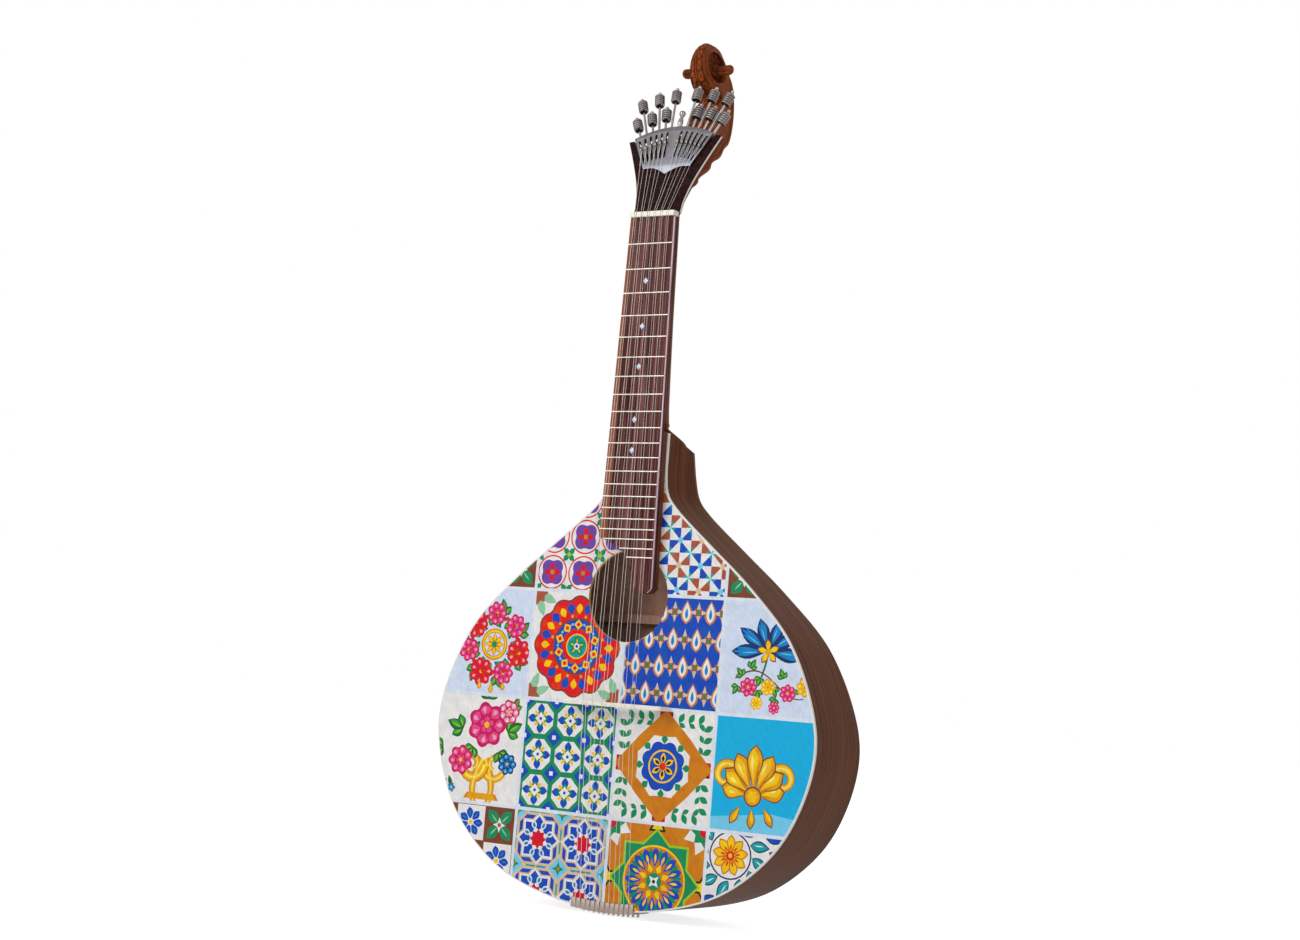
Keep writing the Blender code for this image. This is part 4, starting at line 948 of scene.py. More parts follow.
def make_nut_and_bridge(looks):
    """Bone nut and bridge, notched for the strings."""
    reach = BOARD_HALF_WIDTH_NUT
    places = [string_x(i, *NUT_COURSES) for i in range(STRING_COUNT)]
    foot = -FRET_HEIGHT - BOARD_THICKNESS
    top = notched(places, -reach + 0.5, reach - 0.5, NUT_RISE)
    edge = [Vector((-reach, foot)), *top, Vector((reach, foot))]
    mesh = slab("nut", [edge], 0.1, NUT_THICKNESS - 0.1, NECK @ UPRIGHT_FLIP, 0.25)
    dress("bone_nut", mesh, looks["bone"], ["nut"])
    reach, inner = BRIDGE_HALF_LENGTH, BRIDGE_HALF_LENGTH - 15
    places = [string_x(i, *BRIDGE_COURSES) - BRIDGE_SHIFT for i in range(STRING_COUNT)]
    top = notched(places, -reach + BRIDGE_CORNER, reach - BRIDGE_CORNER, BRIDGE_HEIGHT)
    arch = smooth_line([(inner, BRIDGE_FOOT), (inner - 2, 5.5), (inner - 8, 8.5), (0, 8.5)], 8)
    low = [*[Vector((-p.x, p.y)) for p in arch[:-1]], *reversed(arch)]
    shoulder = BRIDGE_HEIGHT - BRIDGE_CORNER
    outline = [Vector((-reach, BRIDGE_FOOT)), Vector((-reach, shoulder)), *top,
               Vector((reach, shoulder)), Vector((reach, BRIDGE_FOOT)), *reversed(low)]
    half = BRIDGE_THICKNESS / 2
    move = Matrix.Translation((BRIDGE_SHIFT, 0, 0))
    mesh = slab("bridge", [outline], -half, half, BODY @ move @ UPRIGHT, 0.3)
    dress("bone_bridge", mesh, looks["bone"], ["bridge"])


def head_side(inset=0.0, rise=0.0, steps=10):
    """Right side of the head's face, flaring from the nut."""
    line = smooth_line([(BOARD_HALF_WIDTH_NUT + flare, y) for flare, y in HEAD_FLARE], steps)
    return [Vector((p.x - inset, max(p.y, line[0].y + rise))) for p in line]


def head_outline(inset=0.0, rise=0.0):
    """Closed outline of the head's face, round at the top inside the tuner's bar."""
    side = head_side(inset, rise)
    corner = side[-1] + Vector((inset - 5, 0.8))
    return mirrored([*side, corner, *arc(HEAD_TOP, FAN_EDGE, 0, 21)])


def cut(name, mesh, cutters):
    """Cuts the cutters' meshes out of a mesh."""
    holder = shown(name, mesh)
    tools = [shown("tool", cutter) for cutter in cutters]
    for tool in tools:
        step = holder.modifiers.new("Cut", "BOOLEAN")
        step.object, step.solver = tool, "EXACT"
    return tidy(baked(holder, tools))


def make_head(looks):
    """Head block, cream line and rosewood face, with the pocket that the tuner's screws lie in."""
    pocket = [
        *arc(POCKET_INNER, -POCKET_EDGE, POCKET_EDGE, 25), *arc(POCKET_OUTER, POCKET_EDGE, -POCKET_EDGE, 25)
    ]
    outline = head_outline()
    widest = max(outline, key=lambda p: p.x)
    # Where the side's edge turns into the chamfer, as height and depth behind the face
    edges = [(-5, 4), (12, 4.6), (30, 6.2), (45, 7.6), (80, 8.6), (100, 8.6)]
    rings = [[], [], []]
    for point in outline:
        for (low, shallow), (high, deep) in zip(edges, edges[1:]):
            if low <= point.y <= high:
                side = shallow + (deep - shallow) * (point.y - low) / (high - low)
        reach = next((p.x for p in head_side() if p.y >= point.y), widest.x)
        waist = 1 - 1.05 * (HEAD_THICKNESS - side) / reach
        rings[0].append((point.x, point.y, -LINE_BACK))
        rings[1].append((point.x, point.y, -side))
        rings[2].append((point.x * waist, point.y, -HEAD_THICKNESS))
    core = skin("head_core", rings, HEAD)
    line = slab("head_line", [outline], -LINE_BACK, -FACE_BACK, HEAD, 0.05)
    face = slab("head_face", [outline], -FACE_BACK, 0, HEAD, 0.2)
    for name, plain, look, slot, node in (
        ("head_core", core, "mahogany", "mahogany", "head_block"),
        ("head_line", line, "cream", "cream_binding", "head_binding"),
        ("head_face", face, "rosewood_head", "rosewood", "head_veneer"),
    ):
        tool = slab("pocket", [pocket], -8, 8, HEAD)
        dress(name, cut(name, plain, [tool]), looks[look], [node])


def fan_outline():
    """Closed outline of the tuner's face, round at the top and drawn to a point below."""
    corner = arc(FAN_CORNER, FAN_EDGE, FAN_EDGE, 2)[0]
    lower = [corner, (corner.x * 0.55, corner.y), (0, FAN_POINT)]
    curve = smooth_line(lower, 12, after=(-8, FAN_POINT - 7))
    return mirrored([*arc(FAN_TOP, 0, FAN_EDGE, 25), *curve])


def slot_outline(index):
    """A round-ended slot along a tuner ray."""
    angle = fan_angle(index)
    along = Vector((math.sin(angle), math.cos(angle)))
    across = Vector((along.y, -along.x))
    ring = []
    for end, turn in ((SLOT_INNER, math.pi), (SLOT_OUTER, 0)):
        half_round = arc(SLOT_HALF, turn - math.pi / 2, turn + math.pi / 2, 7)
        ring += [along * (end + p.y) + across * p.x for p in half_round]
    return ring


def bore(index, low, high):
    """A cutter for a screw's hole, between two distances along its ray."""
    turns = [k * math.pi / 8 for k in range(16)]
    rings = [[(BORE_RADIUS * math.sin(a), y, BORE_RADIUS * math.cos(a)) for a in turns] for y in (low, high)]
    return skin("bore", rings, ray(index))


def make_fan(looks):
    """The tuner's slotted face and the bar behind it that its screws turn in."""
    slots = [slot_outline(i) for i in range(STRING_COUNT)]
    face = slab("fan_face", [fan_outline(), *slots], FACE_SEAT, FACE_FRONT, HEAD, 0.3)
    outline = [*arc(BAR_INNER, -BAR_EDGE, BAR_EDGE, 31), *arc(BAR_OUTER, BAR_EDGE, -BAR_EDGE, 31)]
    bar = slab("bar", [outline], BAR_BACK, FACE_SEAT + 0.1, HEAD, 0.3)
    bar = cut("bar", bar, [bore(index, 80, 100) for index in range(STRING_COUNT)])
    dress("fan_face", joined("fan_face", [face, bar]), looks["nickel_plate"], ["fan_plate"])


# The finial from its tip down, as radius and height: a bead, a bottle and a stepped foot
FINIAL = [
    (0, 20.2), (1.6, 19.8), (2.7, 18.7), (3.1, 17.2), (2.7, 15.6), (1.9, 14.5),
    (1.45, 13.8), (1.8, 12.2), (2.3, 10), (2.6, 7.6), (2.4, 5.6), (1.8, 4),
    (1.5, 3.1), (2.1, 2.5), (3.2, 2), (3.6, 1.1), (3.6, 0), (0, 0),
]


def knob_profile(reach):
    """Ball tip, dome, stacked knurled rings, hollow underside and rod, as radius, height and knurling."""
    r, half = KNOB_RADIUS, KNOB_LENGTH / 2
    middle = FAN_TOP + reach
    top, low = middle + half, middle - half
    ball, rings = 1.65, 5
    line = [(ball * math.sin(a), top + 0.4 + ball + ball * math.cos(a), 0)
            for a in [math.pi * k / 9 for k in range(8)]]
    line += [(0.8, top + 0.3, 0), (1.9, top + 0.1, 0), (3.0, top - 0.25, 0), (3.6, top - 0.6, 0)]
    tall = (KNOB_LENGTH - 1.0) / rings
    for ring in range(rings):
        y = top - 0.75 - ring * tall
        # A ring's edge: distance in from the barrel, share of its height and how deep the knurls bite
        edge = ((1.0, 0, 0), (0.25, 0.1, 1), (0, 0.28, 1), (0, 0.7, 1), (0.25, 0.88, 1), (1.0, 0.96, 0))
        line += [(r - inside, y - share * tall, bite) for inside, share, bite in edge]
    line += [(r - 0.75, low + 0.1, 0.2), (r - 0.3, low, 0), (r - 1.0, low - 0.02, 0), (r - 1.2, low + 2.6, 0)]
    line += [(ROD_RADIUS, y, 0) for y in (low + 2.8, BAR_OUTER + 1, BAR_INNER - 1, ROD_END)]
    return [*line, (0, ROD_END, 0)]


def make_tuners(tree, looks):
    """The twelve screws with their knobs, each on its ray, and the finial between them."""

    def place(face):
        """Near-black painted shade on the screw below the bar, knurled look on the barrel and turned metal
        elsewhere.
        """
        barrel = math.hypot(face.center.x, face.center.z) > 3.3 and face.normal.y < 0.8
        return 1 if face.center.y < BAR_INNER else 2 if barrel else 0

    for length, reach in KNOB_REACHES.items():
        profile = knob_profile(reach)
        mesh = grow(f"screw_{length}", line_mesh("profile", [profile]), tree, {
            "Steps": 64, "Points": len(profile), "Teeth": 16, "Knurl Depth": 0.13,
            "Material": looks["nickel_turned"],
        })
        mesh.materials.clear()
        pick_faces(mesh, [looks[look] for look in ("nickel_turned", "oiled_thread", "nickel_knurled")], place)
        for index in range(STRING_COUNT):
            if (abs(index - 5.5) % 2 > 1) == (length == "short"):
                screw = mesh.copy()
                screw.transform(ray(index))
                number = f"{index + 1:02d}"
                dress(f"screw_{number}", tidy(screw), None, [f"tuner_screw_{number}"],
                      f"knob_{number}", crease=40)
    line = [(r, BAR_OUTER + 0.1 + h, 0) for r, h in FINIAL]
    mesh = grow("finial_turned", line_mesh("profile", [line]), tree, {
        "Steps": 36, "Points": len(line), "Teeth": 0, "Knurl Depth": 0.0, "Material": looks["nickel_turned"],
    })
    mesh.transform(HEAD @ Matrix.Translation((0, 0, -ROD_DEPTH)))
    dress("finial_turned", tidy(mesh), None, ["finial"], crease=40)


# Paints of the printed tiles
PAINT = {
    "white": "E9E7E5", "ice": "D2DDF0", "royal": "0A48B4", "mid": "1480C4", "turquoise": "1C9CA2",
    "sky": "1AAFE0", "pale_sky": "7CCBEA", "green": "0E8756", "leaf": "3E9A3C", "deep": "1C5A33",
    "sage": "8FC4A0", "lime": "9BC63A", "red": "D0102E", "scarlet": "E02A24", "yellow": "F5C50E",
    "gold": "E3A012", "ochre": "CC7D25", "tan": "D8BEA0", "clay": "A85A44", "brown": "76402C",
    "purple": "6F4AA0", "black": "171314", "pink": "E4588C", "rose": "C8255F", "blush": "F4A6C0",
    "cream": "FBE98C", "navy": "0B2A66", "grout": "DDE3EC",
}
TILE = 99  # pitch of the tiles
HALF = TILE / 2
GROUT = 48  # where the grout line begins, from a tile's middle
CORNERS = [(-1, -1), (1, -1), (-1, 1), (1, 1)]


def placed(outline, at=(0, 0), turn=0.0, size=1.0):
    """An outline scaled, turned in degrees and moved."""
    c, s = math.cos(math.radians(turn)) * size, math.sin(math.radians(turn)) * size
    return [(at[0] + x * c - y * s, at[1] + x * s + y * c) for x, y in outline]


def around(count, outline, turn=0.0, at=(0, 0)):
    """Copies of an outline turned about a point."""
    return [placed(outline, at, turn + 360 * k / count) for k in range(count)]


def spots(pitch, count, shifted=False):
    """The centres of a square grid in the middle of a tile, or the points between them."""
    reach = (count - 1) / 2
    steps = [(i - reach) * pitch for i in range(count)]
    if shifted:
        steps = [(i - count / 2) * pitch for i in range(count + 1)]
    return [(x, y) for x in steps for y in steps]


def disc(radius, at=(0, 0), count=26):
    turns = [2 * math.pi * k / count for k in range(count)]
    return [(at[0] + radius * math.cos(a), at[1] + radius * math.sin(a)) for a in turns]


def lobed(count, radius, swell, turn=0.0, at=(0, 0), fine=7):
    """A rosette's outline: a circle that swells into lobes."""
    made = []
    for k in range(count * fine):
        a = 2 * math.pi * k / (count * fine)
        r = radius * (1 + swell * (abs(math.cos(count * a / 2)) * 2 - 1))
        a += math.radians(turn)
        made.append((at[0] + r * math.cos(a), at[1] + r * math.sin(a)))
    return made


def star(tips, outer, inner, turn=0.0, at=(0, 0)):
    made = []
    for k in range(2 * tips):
        a = math.radians(turn) + math.pi * k / tips
        r = inner if k % 2 else outer
        made.append((at[0] + r * math.sin(a), at[1] + r * math.cos(a)))
    return made


def square(half, turn=0.0, at=(0, 0)):
    return placed([(-half, -half), (half, -half), (half, half), (-half, half)], at, turn)


def petal(length, width, fat=0.5, start=0.0, steps=8):
    """A pointed oval from the centre outwards, widest at a share of its length."""
    power = math.log(0.5) / math.log(fat)
    side = [(width / 2 * math.sin(math.pi * (k / steps) ** power), start + (length - start) * k / steps)
            for k in range(steps + 1)]
    return [*side, *[(-x, y) for x, y in reversed(side[1:-1])]]


def band(path, width, end=None):
    """A ribbon along a path, which may taper to another width."""
    line = [Vector(p) for p in path]
    end = width if end is None else end
    left, right = [], []
    for k, point in enumerate(line):
        along = line[min(k + 1, len(line) - 1)] - line[max(k - 1, 0)]
        side = Vector((-along.y, along.x)).normalized() * (width + (end - width) * k / (len(line) - 1)) / 2
        left.append(tuple(point + side))
        right.append(tuple(point - side))
    return [*left, *reversed(right)]


def curl(radius, turns=1.15, start=0.0, shrink=0.25, hand=1):
    """A path that winds inwards, for painted scrolls."""
    made = []
    for k in range(23):
        t = k / 22
        a = math.radians(start) + hand * 2 * math.pi * turns * t
        r = radius * (1 - (1 - shrink) * t)
        made.append((r * math.cos(a), r * math.sin(a)))
    return made


def lay(art, paint, outlines):
    """Lays outlines of one paint over what a tile has."""
    art += [(paint, outline) for outline in outlines]


def ground(paint):
    """A tile's plain ground, which its shapes are laid on."""
    return [(paint, square(HALF))]


def rose(art, at, size, tones=("rose", "pink", "blush"), heart="yellow", turn=0.0):
    """A full round blossom in three tones, its petals overlapping."""
    lay(art, tones[0], [lobed(7, size, 0.13, turn, at)])
    lay(art, tones[1], around(7, petal(size * 0.96, size * 0.62, 0.66, size * 0.3), turn + 12, at))
    lay(art, tones[2], around(7, petal(size * 0.9, size * 0.24, 0.7, size * 0.5), turn + 16, at))
    lay(art, tones[0], [lobed(5, size * 0.46, 0.16, turn + 20, at)])
    lay(art, tones[1], around(5, petal(size * 0.42, size * 0.3, 0.6, size * 0.08), turn, at))
    lay(art, heart, [disc(size * 0.15, at, 12)])


def foliage(art, at, size, turn, tones=("deep", "leaf", "lime")):
    """A three-pointed leaf with a lighter half and a pale vein."""
    start = size * 0.12
    for side, share in ((-48, 0.72), (48, 0.72), (0, 1)):
        long, way = size * share, turn + side
        lay(art, tones[0], [placed(petal(long, size * 0.5), at, way)])
        lay(art, tones[1], [placed(petal(long * 0.9, size * 0.3, 0.5, start), at, way - 4)])
        lay(art, tones[2], [placed(petal(long * 0.75, size * 0.07, 0.5, start), at, way)])


def pinwheels():
    """Small windmills of blue and clay blades."""
    art = ground("white")
    half = 11
    for x, y in spots(2 * half, 5):
        even = round((x + y) / (2 * half)) % 2 == 0
        lay(art, "royal" if even else "clay", around(4, [(0, 0), (half, 0), (half, half)], 0, (x, y)))
        blade = [(half, half), (half, half * 0.45), (half * 0.72, half * 0.72)]
        lay(art, "turquoise", around(4, blade, 0, (x, y)))
        lay(art, "pale_sky" if even else "tan", [square(2.4, 45, (x, y))])
    return art


def quatrefoils():
    """Four-lobed purple flowers on a net of vermilion rings, with green sprigs between."""
    art = ground("white")
    for at in spots(33, 3):
        lay(art, "scarlet", [disc(15.8, at)])
        lay(art, "white", [disc(14.4, at)])
        lay(art, "purple", [lobed(4, 11.4, 0.16, 45, at)])
        lay(art, "red", around(4, petal(8.6, 5.6, 0.6), 0, at))
        lay(art, "ochre", [disc(2.2, at, 12)])
    for at in spots(33, 3, True):
        lay(art, "green", around(4, petal(8.6, 5.2, 0.45), 45, at))
        lay(art, "lime", [square(1.8, 45, at)])
    return art


def bouquet():
    """A gold scroll with pink blossoms on white."""
    art = ground("white")
    for hand in (1, -1):
        for width, paint in ((8.5, "ochre"), (6.3, "gold"), (3.2, "yellow"), (0.9, "cream")):
            path = [(22 + hand * (x + 10), y - 18) for x, y in curl(11, 1.2, 180, 0.3)]
            lay(art, paint, [band(path, width, width * 0.5)])
            steps = [k / 8 for k in range(9)]
            stem = [(22 + hand * (1 + 7 * math.sin(t * 2.6)), -14 - 34 * t) for t in steps]
            lay(art, paint, [band(stem, width * 0.8, width * 0.5)])
    for y, half, paint in ((-40, 15, "ochre"), (-40, 13, "gold"), (-46, 17, "ochre"), (-46, 15, "yellow")):
        lay(art, paint, [[(22 - half, y - 2.2), (22 + half, y - 2.2), (22 + half * 0.8, y + 2.2),
                          (22 - half * 0.8, y + 2.2)]])
    for at, size, turn in (((2, 6), 15, 70), ((40, 6), 14, -60), ((22, 28), 15, 0), ((-14, -8), 13, 100),
                           ((12, -6), 12, 150), ((34, -8), 12, 210), ((44, 22), 10, -20)):
        foliage(art, at, size, turn)
    rose(art, (22, 10), 14.5)
    rose(art, (2, -16), 9.5, turn=30)
    rose(art, (40, 20), 8, ("rose", "blush", "white"))
    rose(art, (42, -16), 7, ("navy", "mid", "pale_sky"))
    for at in ((-18, -24), (-12, -31), (-24, -34), (-4, -36)):
        lay(art, "deep", [placed(petal(9, 3.4), at, 20)])
        lay(art, "mid", [lobed(5, 2.9, 0.22, 0, at, 4)])
        lay(art, "yellow", [disc(0.9, at, 8)])
    return [art[0], *[(paint, placed(outline, (-20, 9), 0, 1.3)) for paint, outline in art[1:]]]


def crossed_stars():
    """Eight-pointed stars in white straps over blue, with turquoise crosses between."""
    art = ground("turquoise")
    for at in spots(48, 2):
        for outline, paint in ((23.6, "tan"), (21.2, "royal")):
            lay(art, paint, [square(outline * 0.98, 0, at)])
        lay(art, "tan", [star(8, 24.5, 18.6, 0, at)])
        lay(art, "white", [star(8, 22.8, 17.2, 0, at)])
        lay(art, "royal", [star(8, 20.3, 15.2, 0, at)])
        lay(art, "white", around(8, petal(17.6, 5.4, 0.55, 8.2), 22.5, at))
        lay(art, "mid", around(8, petal(15.8, 2.8, 0.55, 9.6), 22.5, at))
        lay(art, "white", [star(8, 11.2, 8.2, 22.5, at)])
        lay(art, "red", [star(8, 9, 6.2, 0, at)])
    for at in [(x, y) for x in (-48, 0, 48) for y in (-48, 0, 48)]:
        lay(art, "tan", [square(9.6, 45, at)])
        lay(art, "pale_sky", [square(7, 45, at)])
        lay(art, "green", [star(4, 6.2, 2.6, 0, at)])
        lay(art, "ochre", [disc(1.6, at, 10)])
    return art


def framed_rosette():
    """An orange eight-sided frame on white, with green sprigs, round a blue lobed field."""
    art = ground("white")
    for turn in (0, 90, 180, 270):
        at = placed([(0, 41)], turn=turn)[0]
        lay(art, "red", [square(6.6, turn, at)])
        lay(art, "black", [placed([(-6.6, -6.6), (6.6, -6.6), (6.6, 6.6)], at, turn)])
        lay(art, "yellow", [placed([(1.6, -6.6), (6.6, -6.6), (6.6, -1.6)], at, turn)])
        for x in (-33, -23, -13, 13, 23, 33):
            base = placed([(x, 38.5)], turn=turn)[0]
            lay(art, "green", [placed(petal(10, 5.6, 0.5), base, turn + (28 if x < 0 else -28))])
            lay(art, "green", [placed(petal(7.5, 4.4, 0.5), base, turn + (118 if x < 0 else -118))])
    lay(art, "ochre", [star(4, 49, 36, 0)])
    lay(art, "ochre", [star(8, 36.5, 35.2, 22.5)])
    lay(art, "white", [star(8, 28.5, 25.5, 22.5)])
    lay(art, "green", around(8, petal(27, 6.4, 0.6, 19), 0))
    lay(art, "royal", [lobed(8, 20.5, 0.09, 22.5)])
    lay(art, "yellow", [disc(14.6)])
    lay(art, "royal", [disc(13)])
    lay(art, "yellow", around(6, petal(12, 5.2, 0.62)))
    lay(art, "black", around(6, petal(9.4, 2.8, 0.62, 2.6)))
    lay(art, "scarlet", [disc(3.2, count=16)])
    return art


def shell():
    """A gold shell between two scrolls on sky blue."""
    art = ground("sky")
    lay(art, "pale_sky", [[(-HALF, -HALF), (HALF, -HALF), (HALF, -36), (10, -31), (-HALF, -38)]])
    centre = (-9, -18)
    for hand in (1, -1):
        for width, paint in ((9.6, "brown"), (8.2, "gold"), (5.4, "yellow"), (1.4, "cream")):
            path = [(centre[0] + hand * (x + 27), y - 2) for x, y in curl(12.5, 1.25, 200, 0.22, -1)]
            lay(art, paint, [band(path, width, width * 0.45)])
    for turn in (-78, 78, -52, 52, -26, 26, 0):
        length = 43 - abs(turn) * 0.17
        lay(art, "brown", [placed(petal(length + 1.4, 16.4, 0.7), centre, turn)])
        lay(art, "gold", [placed(petal(length, 14, 0.7, 2), centre, turn)])
        lay(art, "yellow", [placed(petal(length - 2, 9, 0.72, 6), centre, turn + 3)])
        lay(art, "cream", [placed(petal(length - 7, 2.4, 0.72, 16), centre, turn + 5)])
        lay(art, "ochre", [placed(petal(length - 12, 1.8, 0.5, 4), centre, turn - 9)])
    lay(art, "brown", [disc(8.6, centre)])
    lay(art, "gold", [disc(7.2, centre)])
    lay(art, "yellow", [lobed(6, 4.6, 0.18, 0, centre)])
    for at, turn in (((-9, -27), 180), ((-20, -26), 150), ((2, -26), 210)):
        lay(art, "brown", [placed(petal(19, 8, 0.6), at, turn)])
        lay(art, "gold", [placed(petal(17.6, 6, 0.6, 1), at, turn)])
        lay(art, "yellow", [placed(petal(14, 2.8, 0.6, 2), at, turn + 4)])
    return art


def wreath():
    """A ring of pink and red blossoms and leaves round a gold jewel, on pale blue."""
    art = ground("ice")
    centre = (9, -3)
    for k in range(14):
        a = 360 * k / 14 + 9
        at = placed([(0, 28)], centre, a)[0]
        foliage(art, at, 16, a + (25 if k % 2 else -150))
    for k in range(7):
        a = 360 * k / 7
        at = placed([(0, 28.5)], centre, a)[0]
        tones = (("rose", "pink", "blush"), ("red", "scarlet", "blush"))[k % 2]
        rose(art, at, 11.8 if k % 2 else 10, tones, turn=a)
        for shift in (-11, 11, 16):
            berry = placed([(0, 31 - abs(shift) * 0.35)], centre, a + shift + 13)[0]
            lay(art, "brown", [disc(2, berry, 12)])
            lay(art, "scarlet", [disc(1.6, berry, 12)])
    lay(art, "ochre", [disc(14.6, centre)])
    lay(art, "yellow", [disc(13.4, centre)])
    lay(art, "ochre", [disc(11.4, centre)])
    lay(art, "ice", [disc(10.6, centre)])
    lay(art, "ochre", around(8, petal(10.4, 4.6, 0.6), 0, centre))
    lay(art, "yellow", around(8, petal(9.4, 3, 0.6, 2), 0, centre))
    lay(art, "green", [disc(3, centre, 14)])
    for x, drop in ((-13, 9), (0, 13), (13, 9)):
        top = (centre[0] + x, centre[1] - 33)
        lay(art, "ochre", [placed(petal(drop, 5.2, 0.66), top, 180)])
        lay(art, "yellow", [placed(petal(drop - 1.2, 3.2, 0.66, 1.2), top, 180)])
    return art


def compass():
    """An eight-pointed compass of green, blue and gold on ochre."""
    art = ground("ochre")
    for at in [(48 * x, 48 * y) for x, y in CORNERS]:
        lay(art, "white", [star(8, 23, 15, 22.5, at)])
        lay(art, "green", [star(8, 15.5, 11, 0, at)])
        lay(art, "red", [disc(6.5, at)])
    for turn in (0, 90, 180, 270):
        at = placed([(0, 48)], turn=turn)[0]
        lay(art, "black", [star(6, 10, 6, 0, at)])
        lay(art, "yellow", [star(6, 6.4, 3.8, 0, at)])
    lay(art, "lime", [square(32.5)])
    lay(art, "lime", [square(32.5, 45)])
    lay(art, "green", [square(30.6)])
    lay(art, "green", [square(30.6, 45)])
    lay(art, "yellow", [disc(31.2, count=40)])
    lay(art, "ochre", [disc(29.6, count=40)])
    lay(art, "royal", around(16, petal(29.2, 8.2, 0.7, 9)))
    lay(art, "green", around(16, petal(28.5, 3.4, 0.72, 15), 11.25))
    lay(art, "yellow", around(16, petal(24, 2.4, 0.6, 15)))
    lay(art, "yellow", [star(8, 16.8, 9.6, 22.5)])
    lay(art, "ochre", [star(8, 13.8, 8.2, 0)])
    lay(art, "green", [disc(7.6, count=20)])
    lay(art, "white", [star(4, 6.6, 2.8, 45)])
    lay(art, "black", [disc(1.7, count=10)])
    return art


def medallion():
    """A red scalloped medallion with blue and yellow rings and a turquoise heart."""
    art = ground("white")
    for at in [(47 * x, 47 * y) for x, y in CORNERS]:
        lay(art, "sage", around(8, petal(23, 8, 0.6), 22.5, at))
        lay(art, "clay", [star(8, 12, 8.5, 0, at)])
    lay(art, "brown", [lobed(12, 44, 0.05)])
    lay(art, "scarlet", [lobed(12, 42.4, 0.05)])
    lay(art, "royal", around(12, petal(40, 8.6, 0.6, 28), 15))
    lay(art, "yellow", around(12, petal(38.6, 6.6, 0.55, 29)))
    lay(art, "gold", around(12, disc(1.5, (0, 27.6), 10), 15))
    lay(art, "brown", [disc(25.4, count=40)])
    lay(art, "royal", [disc(24.2, count=40)])
    lay(art, "yellow", around(10, square(3.3, 45, (0, 19.6))))
    lay(art, "scarlet", around(10, square(1.6, 45, (0, 19.6))))
    lay(art, "pale_sky", around(10, disc(1.3, (0, 20.4), 10), 18))
    lay(art, "scarlet", [lobed(10, 15.4, 0.07)])
    lay(art, "yellow", [disc(11.4, count=30)])
    lay(art, "turquoise", [disc(10.2, count=30)])
    lay(art, "green", around(5, petal(9.4, 6.4, 0.62)))
    lay(art, "yellow", around(5, petal(7, 1.6, 0.6, 2.4)))
    lay(art, "white", [disc(2.9, count=14)])
    lay(art, "royal", [disc(1.5, count=10)])
    return art


def lily():
    """A blue lily over a trailing stem with yellow and pink blossoms, on pale blue."""
    art = ground("ice")
    stem = [(-34 + 66 * t, -18 + 9 * math.sin(5.2 * t) - 6 * t) for t in [k / 18 for k in range(19)]]
    lay(art, "brown", [band(stem, 1.5, 1)])
    lay(art, "deep", [band([(-4, 4), (-6, -6), (-9, -16)], 1.7)])
    at = (-4, 6)
    for turn, length, width in ((-96, 34, 13), (92, 36, 13), (-58, 33, 12), (56, 35, 12), (-22, 30, 12),
                                (20, 30, 12)):
        lay(art, "navy", [placed(petal(length, width, 0.58), at, turn)])
        for shift, share in ((-9, 0.88), (0, 0.97), (9, 0.86)):
            lay(art, "mid", [placed(petal(length * share, width * 0.26, 0.6, 7), at, turn + shift * 0.62)])
        lay(art, "pale_sky", [placed(petal(length * 0.72, 0.9, 0.5, 10), at, turn + 2.5)])
    lay(art, "brown", around(5, petal(11.4, 6, 0.6), 6, at))
    lay(art, "yellow", around(5, petal(10, 4.6, 0.6), 6, at))
    lay(art, "gold", [disc(3, at, 14)])
    for spot, turn in (
        ((-27, -16), 40), ((-20, -9), -30), ((-10, -16), 160), ((3, -24), 200), ((12, -16), 20),
        ((22, -24), 180), ((30, -20), -50), ((-31, -24), 150), ((-12, -27), 190), ((6, -33), 150),
    ):
        foliage(art, spot, 9.5, turn)
    rose(art, (-21, -25), 7.6)
    rose(art, (-2, -24), 6.6, ("gold", "yellow", "cream"), "ochre")
    rose(art, (17, -28), 7, ("rose", "pink", "blush"), turn=40)
    rose(art, (33, -22), 7.4, ("gold", "yellow", "cream"), "ochre", 15)
    rose(art, (-12, -38), 5.4, ("gold", "yellow", "cream"), "ochre", 50)
    rose(art, (5, -41), 5, turn=10)
    return art


def waves():
    """Quarter rings of blue and turquoise leaves round a yellow sun, on white."""
    art = ground("white")
    centre = (-26, 30)
    for radius, count, length, width, paints in (
        (40, 18, 19, 9.5, ("navy", "royal", "pale_sky")), (24, 12, 19, 10, ("navy", "turquoise", "white")),
    ):
        for k in range(count):
            a = 360 * k / count
            at = placed([(0, radius - 3)], centre, a)[0]
            lay(art, paints[0], [placed(petal(length, width, 0.45), at, a - 34)])
            lay(art, paints[1], [placed(petal(length - 1.8, width - 2.4, 0.45, 1), at, a - 34)])
            lay(art, paints[2], [placed(petal(length - 6, 1.1, 0.5, 4), at, a - 30)])
    lay(art, "navy", [disc(20.4, centre)])
    lay(art, "white", [disc(19, centre)])
    lay(art, "ochre", around(9, petal(17.6, 8.8, 0.62), 0, centre))
    lay(art, "yellow", around(9, petal(16, 6.4, 0.62, 3), 0, centre))
    lay(art, "scarlet", around(9, petal(10, 1.8, 0.5, 4.4), 0, centre))
    lay(art, "scarlet", [disc(4, centre, 16)])
    lay(art, "yellow", [disc(2, centre, 12)])
    return art


